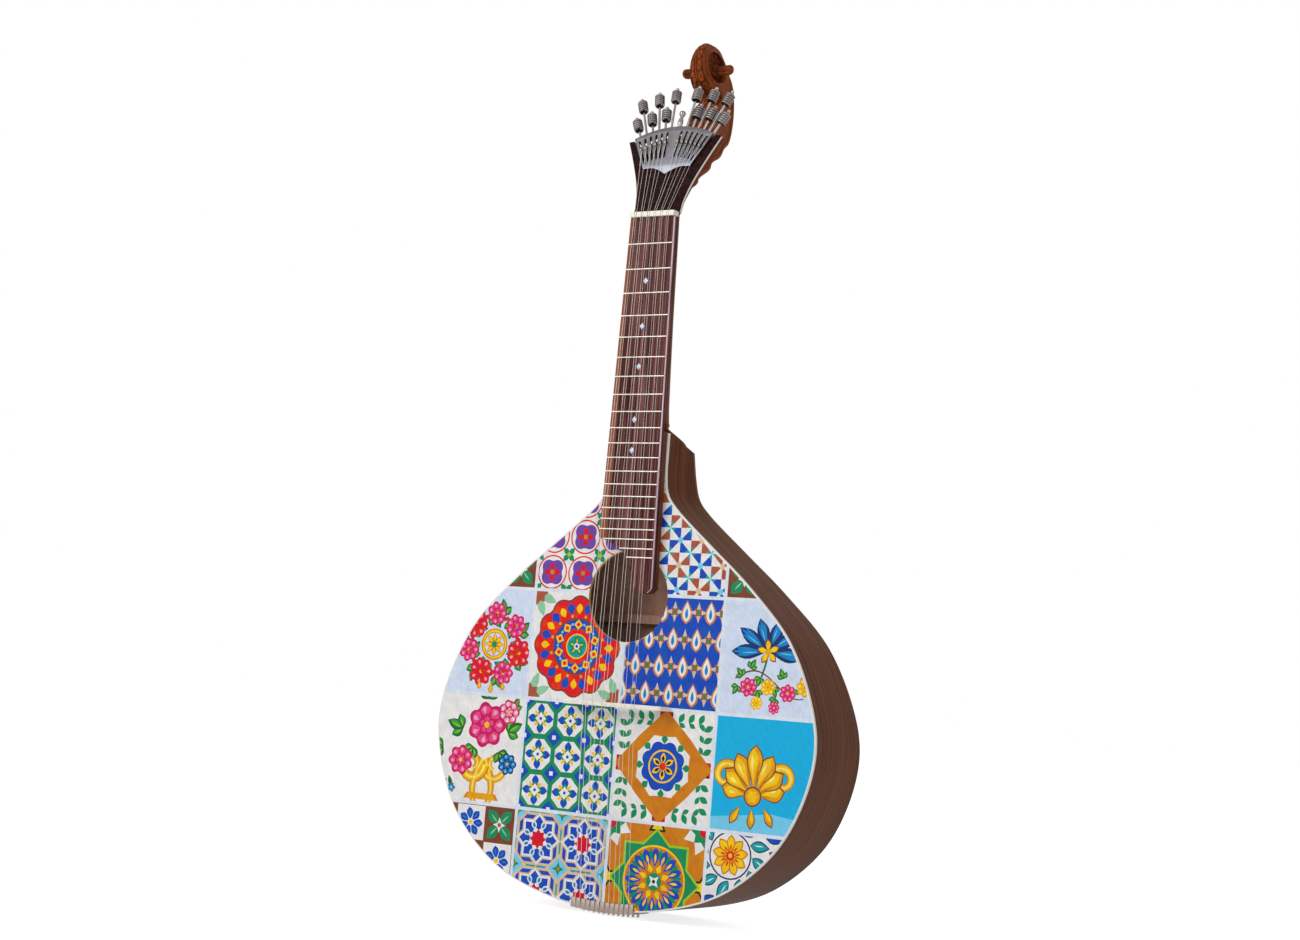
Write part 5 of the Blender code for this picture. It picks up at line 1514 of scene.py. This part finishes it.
def drops():
    """White drops with ochre edges in rows on deep blue, and tan four-pointed stars between."""
    art = ground("royal")
    for row, y in enumerate((-36, -12, 12, 36)):
        for x in [(-48, -24, 0, 24, 48), (-36, -12, 12, 36)][row % 2]:
            lay(art, "ochre", [placed(petal(21, 11.6, 0.4), (x, y - 10.5))])
            lay(art, "white", [placed(petal(17.8, 8, 0.4), (x, y - 8.8))])
            lay(art, "mid", [placed(petal(9.6, 3.2, 0.4), (x, y - 5.8))])
        for x in [(-36, -12, 12, 36), (-48, -24, 0, 24, 48)][row % 2]:
            lay(art, "tan", [star(4, 9.2, 3.4, 0, (x, y))])
            lay(art, "clay", [star(4, 5.4, 2.6, 45, (x, y))])
            lay(art, "green", [disc(1.9, (x, y), 10)])
    return art


def garden_lattice():
    """White eight-sided tiles on green, with blue squares and yellow sprigs."""
    art = ground("green")
    for at in spots(32, 3):
        lay(art, "white", [star(8, 14.8, 13.6, 22.5, at)])
        lay(art, "royal", around(4, petal(13.6, 7.4, 0.55, 2.5), 0, at))
        lay(art, "green", [square(5.7, 45, at)])
        lay(art, "white", [square(4.1, 45, at)])
        lay(art, "yellow", around(4, petal(9.4, 3.2, 0.7, 2), 45, at))
        lay(art, "royal", [disc(1.5, at, 10)])
    for at in spots(32, 3, True):
        lay(art, "royal", [square(5.6, 45, at)])
        lay(art, "white", [square(1.9, 0, at)])
    return art


def daisy_checks():
    """Blue daisies on white squares and green leaves on brown ones."""
    art = ground("brown")
    for x, y in spots(32, 3):
        if round((x + y) / 32) % 2:
            lay(art, "white", [square(15.4, 0, (x, y))])
            lay(art, "royal", around(7, petal(13.6, 7.2, 0.66), 10, (x, y)))
            lay(art, "mid", around(7, petal(11, 1.6, 0.6, 5), 10, (x, y)))
            lay(art, "white", [disc(3.4, (x, y), 14)])
            lay(art, "yellow", [disc(2.1, (x, y), 12)])
        else:
            lay(art, "green", around(4, petal(18, 10.6, 0.55), 45, (x, y)))
            lay(art, "sage", around(4, petal(13.6, 1.6, 0.5, 3), 45, (x, y)))
            lay(art, "white", [star(4, 7, 2.8, 0, (x, y))])
            lay(art, "clay", [disc(2, (x, y), 10)])
    return art


# The tiles by row from the neck down, and by column from the bass side
TILES = [
    (quatrefoils, quatrefoils, pinwheels, pinwheels),
    (daisy_checks, quatrefoils, pinwheels, daisy_checks),
    (wreath, medallion, drops, lily),
    (bouquet, garden_lattice, framed_rosette, shell),
    (daisy_checks, crossed_stars, compass, waves),
]


def paint_soundboard(looks):
    """The soundboard's printed film: a tile's shapes are cut against each other and the topmost shows."""
    half = offset(front_half(), -EDGE_SHOWN)
    half[0].y = heel_y(PLATE) - EDGE_SHOWN
    half[-1].x = 0
    limit = mirrored(half)
    hole = arc(SOUND_HOLE_RADIUS + 0.05, 0, 2 * math.pi * 71 / 72, 72, (0, SOUND_HOLE_UP))
    points, faces, paints = [], [], []
    for row, line in enumerate(TILES):
        for column, draw in enumerate(line):
            middle = Vector((TILE * (column - 1.5), TILE * (2.5 - row)))
            art = draw()
            for left, right, low, high in ((-HALF, HALF, GROUT, HALF), (-HALF, HALF, -HALF, -GROUT),
                                           (-HALF, -GROUT, -HALF, HALF), (GROUT, HALF, -HALF, HALF)):
                art.append(("grout", [(left, low), (right, low), (right, high), (left, high)]))
            outlines = [outline for _, outline in art]
            outlines += [[tuple(p - middle) for p in limit], [tuple(p - middle) for p in hole]]
            outlines.append(square(HALF))
            flat, loops = [], []
            for outline in outlines:
                spin = sum(a[0] * b[1] - b[0] * a[1] for a, b in zip(outline, [*outline[1:], outline[0]]))
                loops.append(list(range(len(flat), len(flat) + len(outline))))
                flat += [Vector(p) for p in (outline if spin > 0 else reversed(outline))]
            found = geometry.delaunay_2d_cdt(flat, [], loops, 1, 0.0005, True)
            board, opening, cell = len(art), len(art) + 1, len(art) + 2
            start = len(points)
            points += [BODY @ Vector((p.x + middle.x, p.y + middle.y, 0.12)) for p in found[0]]
            for face, owners in zip(found[2], found[5]):
                if board in owners and cell in owners and opening not in owners:
                    faces.append([start + i for i in face])
                    paints.append(art[max(k for k in owners if k < board)][0])
    mesh = bpy.data.meshes.new("printed_film")
    mesh.from_pydata(points, [], faces)
    colours = {name: linear(code) for name, code in PAINT.items()}
    layer = mesh.color_attributes.new("paint", "FLOAT_COLOR", "CORNER")
    values = [v for paint in paints for v in colours[paint] * 3]
    layer.data.foreach_set("color", values)
    shape = bmesh.new()
    shape.from_mesh(mesh)
    bmesh.ops.delete(shape, geom=[v for v in shape.verts if not v.link_faces], context="VERTS")
    shape.to_mesh(mesh)
    shape.free()
    dress("printed_film", mesh, looks["print"])


def refined(name, node, bevel):
    """A copy of a CAD node, merged into clean faces, its edges softened."""
    mesh = nodes[node].data.copy()
    shape = bmesh.new()
    shape.from_mesh(mesh)
    bmesh.ops.remove_doubles(shape, verts=shape.verts, dist=0.002 * MM)
    bmesh.ops.dissolve_limit(shape, angle_limit=math.radians(1), verts=shape.verts, edges=shape.edges)
    bmesh.ops.recalc_face_normals(shape, faces=shape.faces)
    shape.to_mesh(mesh)
    shape.free()
    holder = shown(name, mesh)
    soft = holder.modifiers.new("Soft", "BEVEL")
    soft.width, soft.segments, soft.limit_method = bevel * MM, 2, "ANGLE"
    soft.angle_limit = math.radians(40)
    soft.use_clamp_overlap = True
    return baked(holder)


def make_comb(looks):
    """The tail comb with softened teeth."""
    dress("comb_teeth", refined("comb_teeth", "tail_comb", 0.1), looks["nickel_stamped"],
          ["tail_comb"], crease=45)


def make_hooks(looks):
    """Twelve hooks: a threaded block under the tuner's face and a flat arm that bends over at its tip."""
    path = smooth_line([(0, 72.25, 2.2), (0, 72.25, 4), (0, 72.3, 5.8), (0, 72.9, 7.2), (0, 74.2, 7.7),
                        (0, 75.9, 7.1)], 5)
    half, reach = 1.75, 2.5  # half sizes of the block
    corners = ((-half, -reach), (half, -reach), (half, reach), (-half, reach))
    outline = [Vector((x, HOOK_RADIUS + y)) for x, y in corners]
    for index in range(STRING_COUNT):
        number = f"{index + 1:02d}"
        rings = []
        for k, point in enumerate(path):
            along = (path[min(k + 1, len(path) - 1)] - path[max(k - 1, 0)]).normalized()
            over = Vector((1, 0, 0)).cross(along)
            broad = 1 + 0.9 * round_step(point.z, 3.8, 5) - (0.5 if k == len(path) - 1 else 0)
            rings.append([
                point + Vector((1, 0, 0)) * x * broad + over * y * (0.8 if k == len(path) - 1 else 1)
                for x, y in ((-0.62, -0.35), (-0.35, -0.55), (0.35, -0.55), (0.62, -0.35), (0.62, 0.35),
                             (0.35, 0.55), (-0.35, 0.55), (-0.62, 0.35))
            ])
        arm = skin("arm", rings, ray(index))
        block = slab("block", [outline], -1.8, 3.1, ray(index), 0.3)
        block = cut("block", block, [bore(index, 60, 85)])
        dress(f"hook_{number}_arm", joined("hook", [block, arm]), looks["nickel_tarnished"],
              [f"string_hook_{number}"], f"hook_{number}", crease=45)


def drawn_tree():
    """Draws wire along a path, or winds it round the path as a twisted end."""
    number = "NodeSocketFloat"
    tree, given = new_tree("drawn_wire", [
        ("Wire Radius", number, 0.15), ("Sides", "NodeSocketInt", 6), ("Twist Radius", number, 0.0),
        ("Twist Pitch", number, 1.6), ("Step Length", number, 0.0), ("Material", "NodeSocketMaterial", None),
    ])
    path = add(tree, "GeometryNodeMeshToCurve", links={"Mesh": given["Geometry"]}).outputs[0]
    links = {"Curve": path, "Length": given["Step Length"]}
    fine = add(tree, "GeometryNodeResampleCurve", {"mode": "LENGTH"}, links).outputs[0]
    settings = {"data_type": "FLOAT", "operation": "GREATER_THAN"}
    wanted = add(tree, "FunctionNodeCompare", settings, {0: given["Step Length"], 1: 0.0}).outputs[0]
    links = {"Switch": wanted, "False": path, "True": fine}
    path = add(tree, "GeometryNodeSwitch", {"input_type": "GEOMETRY"}, links).outputs[0]
    run = add(tree, "GeometryNodeSplineParameter").outputs["Length"]
    angle = calc(tree, "MULTIPLY", calc(tree, "DIVIDE", run, given["Twist Pitch"]), 2 * math.pi)
    normal = add(tree, "GeometryNodeInputNormal").outputs[0]
    tangent = add(tree, "GeometryNodeInputTangent").outputs[0]
    links = {0: tangent, 1: normal}
    across = add(tree, "ShaderNodeVectorMath", {"operation": "CROSS_PRODUCT"}, links).outputs[0]
    sides = []
    for function, axis in (("COSINE", normal), ("SINE", across)):
        share = calc(tree, "MULTIPLY", calc(tree, function, angle), given["Twist Radius"])
        links = {0: axis, "Scale": share}
        sides.append(add(tree, "ShaderNodeVectorMath", {"operation": "SCALE"}, links).outputs[0])
    move = add(tree, "ShaderNodeVectorMath", {"operation": "ADD"}, dict(enumerate(sides))).outputs[0]
    wound = add(tree, "GeometryNodeSetPosition", links={"Geometry": path, "Offset": move}).outputs[0]
    links = {"Resolution": given["Sides"], "Radius": given["Wire Radius"]}
    profile = add(tree, "GeometryNodeCurvePrimitiveCircle", links=links).outputs[0]
    close_tree(tree, swept(tree, wound, profile), given["Material"])
    return tree


def in_mm(where, point):
    """A point of a frame as world millimetres."""
    return (where @ Vector(point)) / MM


def string_route(index):
    """One string's path in world millimetres: up over the comb, the bridge and the nut to its hook."""
    radius = STRING_RADII[index]
    x_tail, x_nut, angle = string_x_at_comb(index), string_x(index, *NUT_COURSES), fan_angle(index)
    out = tail_edge(x_tail) - 0.3 - COMB_THICKNESS - radius - 0.05
    reach = HOOK_RADIUS - HOOK_HALF - radius
    tail = [in_mm(BODY, (x_tail, out + up, level)) for up, level in (
        (0, -COMB_PIN_DROP + 1), (0, 0.2), (0.5, 1.3), (1.5, 1.75),
    )]
    notch = radius * 0.4  # the axis of a string above the floor of its notch
    over = [
        in_mm(BODY, (string_x(index, *BRIDGE_COURSES), 0, BRIDGE_HEIGHT + notch)),
        in_mm(NECK, (x_nut, 0, NUT_RISE + notch)), in_mm(NECK, (x_nut, 4.9, NUT_RISE - 0.1 + notch)),
    ]
    hook = in_mm(HEAD, (reach * math.sin(angle), reach * math.cos(angle), 3.1))
    last = [over[-1].lerp(hook, k / 12) for k in range(1, 13)]
    return [*tail, *over, *last], hook, tail[0]


def make_strings(tree, looks):
    """Twelve strings with twisted loops at the comb's pins and the tuner's hooks."""
    for index, radius in enumerate(STRING_RADII):
        number = f"{index + 1:02d}"
        look = looks["wound" if index in WOUND else "steel"]
        route, hook, pin = string_route(index)
        along = (route[-1] - route[-6]).normalized()
        across = along.cross(Vector((1, 0, 0))).normalized()
        side = across.cross(along).normalized()
        centre = hook + along * (HOOK_HALF + radius)
        round_once = [2 * math.pi * k / 20 for k in range(21)]
        loop = [centre - along * math.cos(a) * (HOOK_HALF + radius) - side * math.sin(a) * (0.68 + radius)
                for a in round_once]
        foot = pin - Vector((0, 0, 1.6))
        pin_loop = [foot + Vector((math.sin(a), 0, math.cos(a))) * 1.5 for a in round_once]
        twist_end = [route[-1] - along * 15, route[-1]]
        pin_twist = [route[0], route[0] + (route[1] - route[0]).normalized() * 9]
        thin, twist = radius * 0.8, radius * 1.5
        grown = []
        for path, winds, step, thick in (
            (route, 0.0, 0.0, radius), (loop, 0.0, 0.0, thin), (pin_loop, 0.0, 0.0, thin),
            (twist_end, twist, 0.2, thin), (pin_twist, twist, 0.2, thin),
        ):
            grown.append(grow("wire", line_mesh("wire", [path]), tree, {
                "Wire Radius": thick, "Sides": 8, "Twist Radius": winds, "Twist Pitch": 1.5,
                "Step Length": step, "Material": look,
            }))
        mesh = joined(f"wire_{number}", grown)
        mesh.transform(Matrix.Scale(MM, 4))
        piece = dress(f"wire_{number}", tidy(mesh), look, [f"string_{number}"], body=None)
        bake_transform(piece)


SCROLL_FRONT = [
    (93.4, 21.1), (103.9, 28.5), (117.6, 32.9), (128, 33), (142.6, 40.2), (150.5, 43.5), (154.7, 34.5),
]
SCROLL_BACK = [
    (186.5, 41.5), (172.6, 55.9), (153.9, 66.9), (134, 72.5), (116.6, 72.4), (107.4, 66.9), (96.6, 63.7),
    (83.2, 52.3), (76.1, 51.5), (56.6, 36.6), (53, 37.1), (34.8, 23.2), (24.6, 19.5),
]
VOLUTE_CENTRE = Vector((171.7, 25.7))
VOLUTE_RADIUS = 22
BOSS_CENTRE = VOLUTE_CENTRE + Vector((-2, 1.5))
LEAF_PITCH = 11
# Profiles of the volute and of the boss in its eye, as radius and half width
VOLUTE_SIDE = [
    (0.02, 5.5), (6.6, 5.5), (7.1, 8.6), (8, 9.6), (8.9, 8.6), (9.4, 5.5), (12.4, 5.5),
    (13.4, 6.5), (14, 13.5), (14.8, 15.4), (16, 16), (17.2, 15.3), (17.9, 13.7), (18.5, 12.9),
    (19.3, 13.1), (20.6, 11.6), (22, 8.6), (23.2, 4), (23.5, 0),
]
BOSS_SIDE = [(0.02, 26.8), (3.2, 26.3), (4.8, 24.6), (5.4, 22), (5.2, 17), (4.9, 12), (5.2, 5)]


def round_step(value, low, high):
    """Nought below low, one above high and smooth between."""
    share = min(max((value - low) / (high - low), 0), 1)
    return share * share * (3 - 2 * share)


def hump(value, middle, width):
    """A bell curve of height one."""
    return math.exp(-((value - middle) / width) ** 2)


def gap_to(line, point):
    """The distance from a point to a line of points."""
    best = 1e9
    for a, b in zip(line, line[1:]):
        run = b - a
        t = min(max((point - a).dot(run) / run.length_squared, 0), 1)
        best = min(best, (point - a - run * t).length)
    return best


def narrowed(x, up, deep):
    """The scroll's half width drawn in towards the volute's front and top, as it is carved."""
    from_centre = Vector((up, deep)) - VOLUTE_CENTRE
    lean = max(min((0.75 * from_centre.y - 0.66 * from_centre.x) / 20, 1), -1)
    boss = (Vector((up, deep)) - BOSS_CENTRE).length
    share = round_step(boss, 5.6, 7.5) * (1 - round_step(from_centre.length, 24, 36))
    return x * (1 - (0.34 - 0.22 * lean) * share)


def relief(x, up, deep, normal, back_line):
    """Height of the carving above the rough shape, in millimetres."""
    wide = abs(x)
    from_centre = Vector((up, deep)) - VOLUTE_CENTRE
    turn = math.atan2(-from_centre.y, from_centre.x)  # nought at the top, positive to the front
    height = 0.0
    facing = 1 - min(abs(normal.x) * 1.1, 1)
    in_volute = up > 149 and from_centre.length < 27
    if in_volute and -0.9 < turn < 3.0 or not in_volute and normal.z > 0.2:
        run = VOLUTE_RADIUS * turn if in_volute else 60 - up
        step = (run / LEAF_PITCH + 0.5) % 1 - 0.5
        across, along = (wide - 6) / 4.1, step * LEAF_PITCH / 5 + 0.35 * (wide - 6) / 4.1
        dome = math.sqrt(max(1 - across**2 - along**2, 0))
        pit = math.exp(-((wide - 6) / 1.4) ** 2 - (step * LEAF_PITCH / 2.4) ** 2)
        height += facing * (2.3 * dome - 2.2 * pit + 1.7 * hump(wide, 0, 1.1) - 1.1)
    elif facing > 0.1:
        height -= facing * (0.8 * hump(wide, 3.6, 0.9) + 0.8 * hump(wide, 8.4, 0.9))
    if not in_volute and abs(normal.x) > 0.5:
        edge = gap_to(back_line, Vector((up, deep)))
        height -= 1.0 * hump(edge, 5.0, 0.8) + 0.5 * hump(edge, 8.4, 0.6)
    return height


def make_scroll(looks):
    """The carved scroll: a rough union of fin and volute, remeshed finely and then carved by its relief."""
    side_frame = HEAD @ SIDEWAYS
    front = smooth_line(SCROLL_FRONT, 5)
    back = smooth_line(SCROLL_BACK, 4)
    turns = [math.radians(205 - 220 * i / 40) for i in range(41)]
    volute = [VOLUTE_CENTRE + VOLUTE_RADIUS * Vector((math.cos(a), -math.sin(a))) for a in turns]
    neck_end = [Vector((11, HEAD_THICKNESS)), Vector((HEAD_TOP, HEAD_THICKNESS))]
    outline = [Vector((p.x, -p.y)) for p in (*neck_end, *front, *volute, *back)]
    fin = slab("fin", [outline], -13, 13, side_frame, 1.6)
    rounds = [k * math.pi / 36 for k in range(72)]

    def spun(name, profile, centre=VOLUTE_CENTRE):
        """A profile of radius and sideways place, turned about an axis across the head."""
        eye = HEAD @ Matrix.Translation((0, centre.x, -centre.y))
        return skin(name, [[(x, r * math.cos(a), r * math.sin(a)) for a in rounds] for r, x in profile], eye)

    recesses = [spun("recess", [(14.4, s * 6), (14.4, s * 30)]) for s in (-1, 1)]
    fin = cut("fin", fin, recesses)
    barrel = spun("barrel", [*VOLUTE_SIDE, *[(r, -x) for r, x in reversed(VOLUTE_SIDE[:-1])]])
    boss = spun("boss", [*BOSS_SIDE, *[(r, -x) for r, x in reversed(BOSS_SIDE)]], BOSS_CENTRE)
    holder = shown("scroll_rough", joined("scroll", [fin, barrel, boss]))
    remesh = holder.modifiers.new("Fine", "REMESH")
    remesh.mode, remesh.voxel_size = "VOXEL", 0.62 * MM
    soften = holder.modifiers.new("Soften", "SMOOTH")
    soften.factor, soften.iterations = 0.5, 3
    mesh = baked(holder)
    into_head, turn_back = HEAD.inverted(), HEAD.to_3x3().normalized().inverted()
    heights = []
    places = []
    for point, normal in zip(mesh.vertices, mesh.vertex_normals):
        spot = into_head @ point.co
        local = turn_back @ normal.vector
        height = relief(spot.x, spot.y, -spot.z, local, back)
        # The volute's eye gets a lower relief value, which darkens it as painted shade without moving its
        # shape
        in_eye = (Vector((spot.y, -spot.z)) - VOLUTE_CENTRE).length < 13.7 and abs(spot.x) < 13.5
        heights.append(height - 0.7 if in_eye else height)
        moved = into_head @ (point.co + normal.vector * height * MM)
        moved.x = narrowed(moved.x, moved.y, -moved.z)
        places += list(HEAD @ moved)
    mesh.vertices.foreach_set("co", places)
    layer = mesh.attributes.new("relief", "FLOAT", "POINT")
    layer.data.foreach_set("value", heights)
    mesh.name = "carved_scroll"
    dress("carved_scroll", mesh, looks["carved"], ["scroll"], crease=180)


# The camera that the fit to the photograph gave, in millimetres of lens and metres of place
FOCAL_LENGTH = 57.31
CAMERA_PLACE = (0.9621, -1.5606, -0.4365)


def make_camera():
    """The camera at the photograph's place, on a 36 mm frame."""
    lens = bpy.data.cameras.new("camera")
    lens.lens, lens.sensor_width = FOCAL_LENGTH, 36
    lens.clip_start, lens.clip_end = 0.05, 50
    camera = shown("camera", lens)
    forward = Vector((-0.514, 0.851, 0.112)).normalized()
    right = forward.cross(Vector((-0.012, -0.137, 0.990))).normalized()
    turn = Matrix((right, right.cross(forward), -forward)).transposed().to_4x4()
    camera.matrix_world = Matrix.Translation(CAMERA_PLACE) @ turn
    bpy.context.scene.camera = camera


SURROUNDING_LIGHT = 0.36  # how much the white surrounding lights the object
FLOOR_GLOW = 0.8
FLOOR_DROP = 0.0005  # metres between the object's lowest point and the floor


def seen_directly(tree):
    """One for rays of the camera, of gloss and of glass, which are to see the white background."""
    path = add(tree, "ShaderNodeLightPath").outputs
    either = calc(tree, "MAXIMUM", path["Is Camera Ray"], path["Is Glossy Ray"])
    return calc(tree, "MAXIMUM", either, path["Is Transmission Ray"])


def make_stage():
    """A pale floor that keeps the shadow, an even white surrounding, and two soft lamps."""
    scene = bpy.context.scene
    scene.view_settings.view_transform = "Standard"
    world = bpy.data.worlds.new("studio")
    world.use_nodes = True
    scene.world = world
    tree = world.node_tree
    back = tree.nodes["Background"]
    back.inputs["Color"].default_value = (1, 1, 1, 1)
    feed(tree, back, Strength=spread(tree, seen_directly(tree), SURROUNDING_LIGHT, 1.0, 0.0, 1.0))

    floor_mesh = bpy.data.meshes.new("floor")
    size, low = 30, cad_box[0].z - FLOOR_DROP
    corners = [(size * x, size * y, low) for x, y in ((-1, -1), (1, -1), (1, 1), (-1, 1))]
    floor_mesh.from_pydata(corners, [], [(0, 1, 2, 3)])
    made, tree, shader = finish("floor_paper", Roughness=0.9)
    shader.inputs["Emission Color"].default_value = (1, 1, 1, 1)
    grain = noise(tree, place_in_mm(tree, (1, 1, 1)), 0.5, Detail=4.0)
    colour = ramp(tree, grain, [(0.3, "E4E4E4"), (0.7, "E8E8E8")])
    feed(tree, shader, Base_Color=colour)
    feed(tree, shader, Emission_Strength=calc(tree, "MULTIPLY", seen_directly(tree), FLOOR_GLOW))
    floor_mesh.materials.append(made)
    shown("floor", floor_mesh)

    lamps = [
        ("key_lamp", (-0.9, -2.2, 0.9), 1.6, 38),
        ("fill_lamp", (2.2, -1.2, 0.8), 1.4, 12),
    ]
    for name, place, size, power in lamps:
        light = bpy.data.lights.new(name, "AREA")
        light.size, light.energy = size, power
        lamp = shown(name, light)
        aim = Vector((0, 0.03, -0.3)) - Vector(place)
        lamp.matrix_world = Matrix.Translation(place) @ aim.to_track_quat("-Z", "Y").to_matrix().to_4x4()


def main():
    """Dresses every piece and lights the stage."""
    looks = make_finishes()
    looks["print"] = make_print()
    inside = {"spruce": looks["spruce"], "mahogany": looks["mahogany"], "walnut": looks["walnut_side"],
              "printed_soundboard": looks["spruce"], "cream_binding": looks["cream"], "bone": looks["bone"],
              "rosewood": looks["rosewood_head"], "nickel_silver": looks["nickel_turned"],
              "string_steel": looks["steel"]}
    for part in frame["record"]["subparts"]:
        node = nodes[part["node"]]
        node.data.materials.clear()
        node.data.materials.append(inside[part["material_slot"]])
    # Seen through the sound hole, these are bare walnut in the light that falls in
    for name in ("back_brace_upper", "back_brace_lower", "back_lining"):
        nodes[name].data.materials[0] = looks["walnut_bare"]
    turned, wire = turning_tree(), wire_tree()
    for make in (make_sides, make_back, make_edging, make_neck, make_front_frame, make_fingerboard,
                 make_nut_and_bridge, make_head, make_fan):
        make(looks)
    paint_soundboard(looks)
    make_frets(wire, looks)
    make_tuners(turned, looks)
    make_hooks(looks)
    make_comb(looks)
    make_strings(drawn_tree(), looks)
    make_scroll(looks)
    make_camera()
    make_stage()


main()
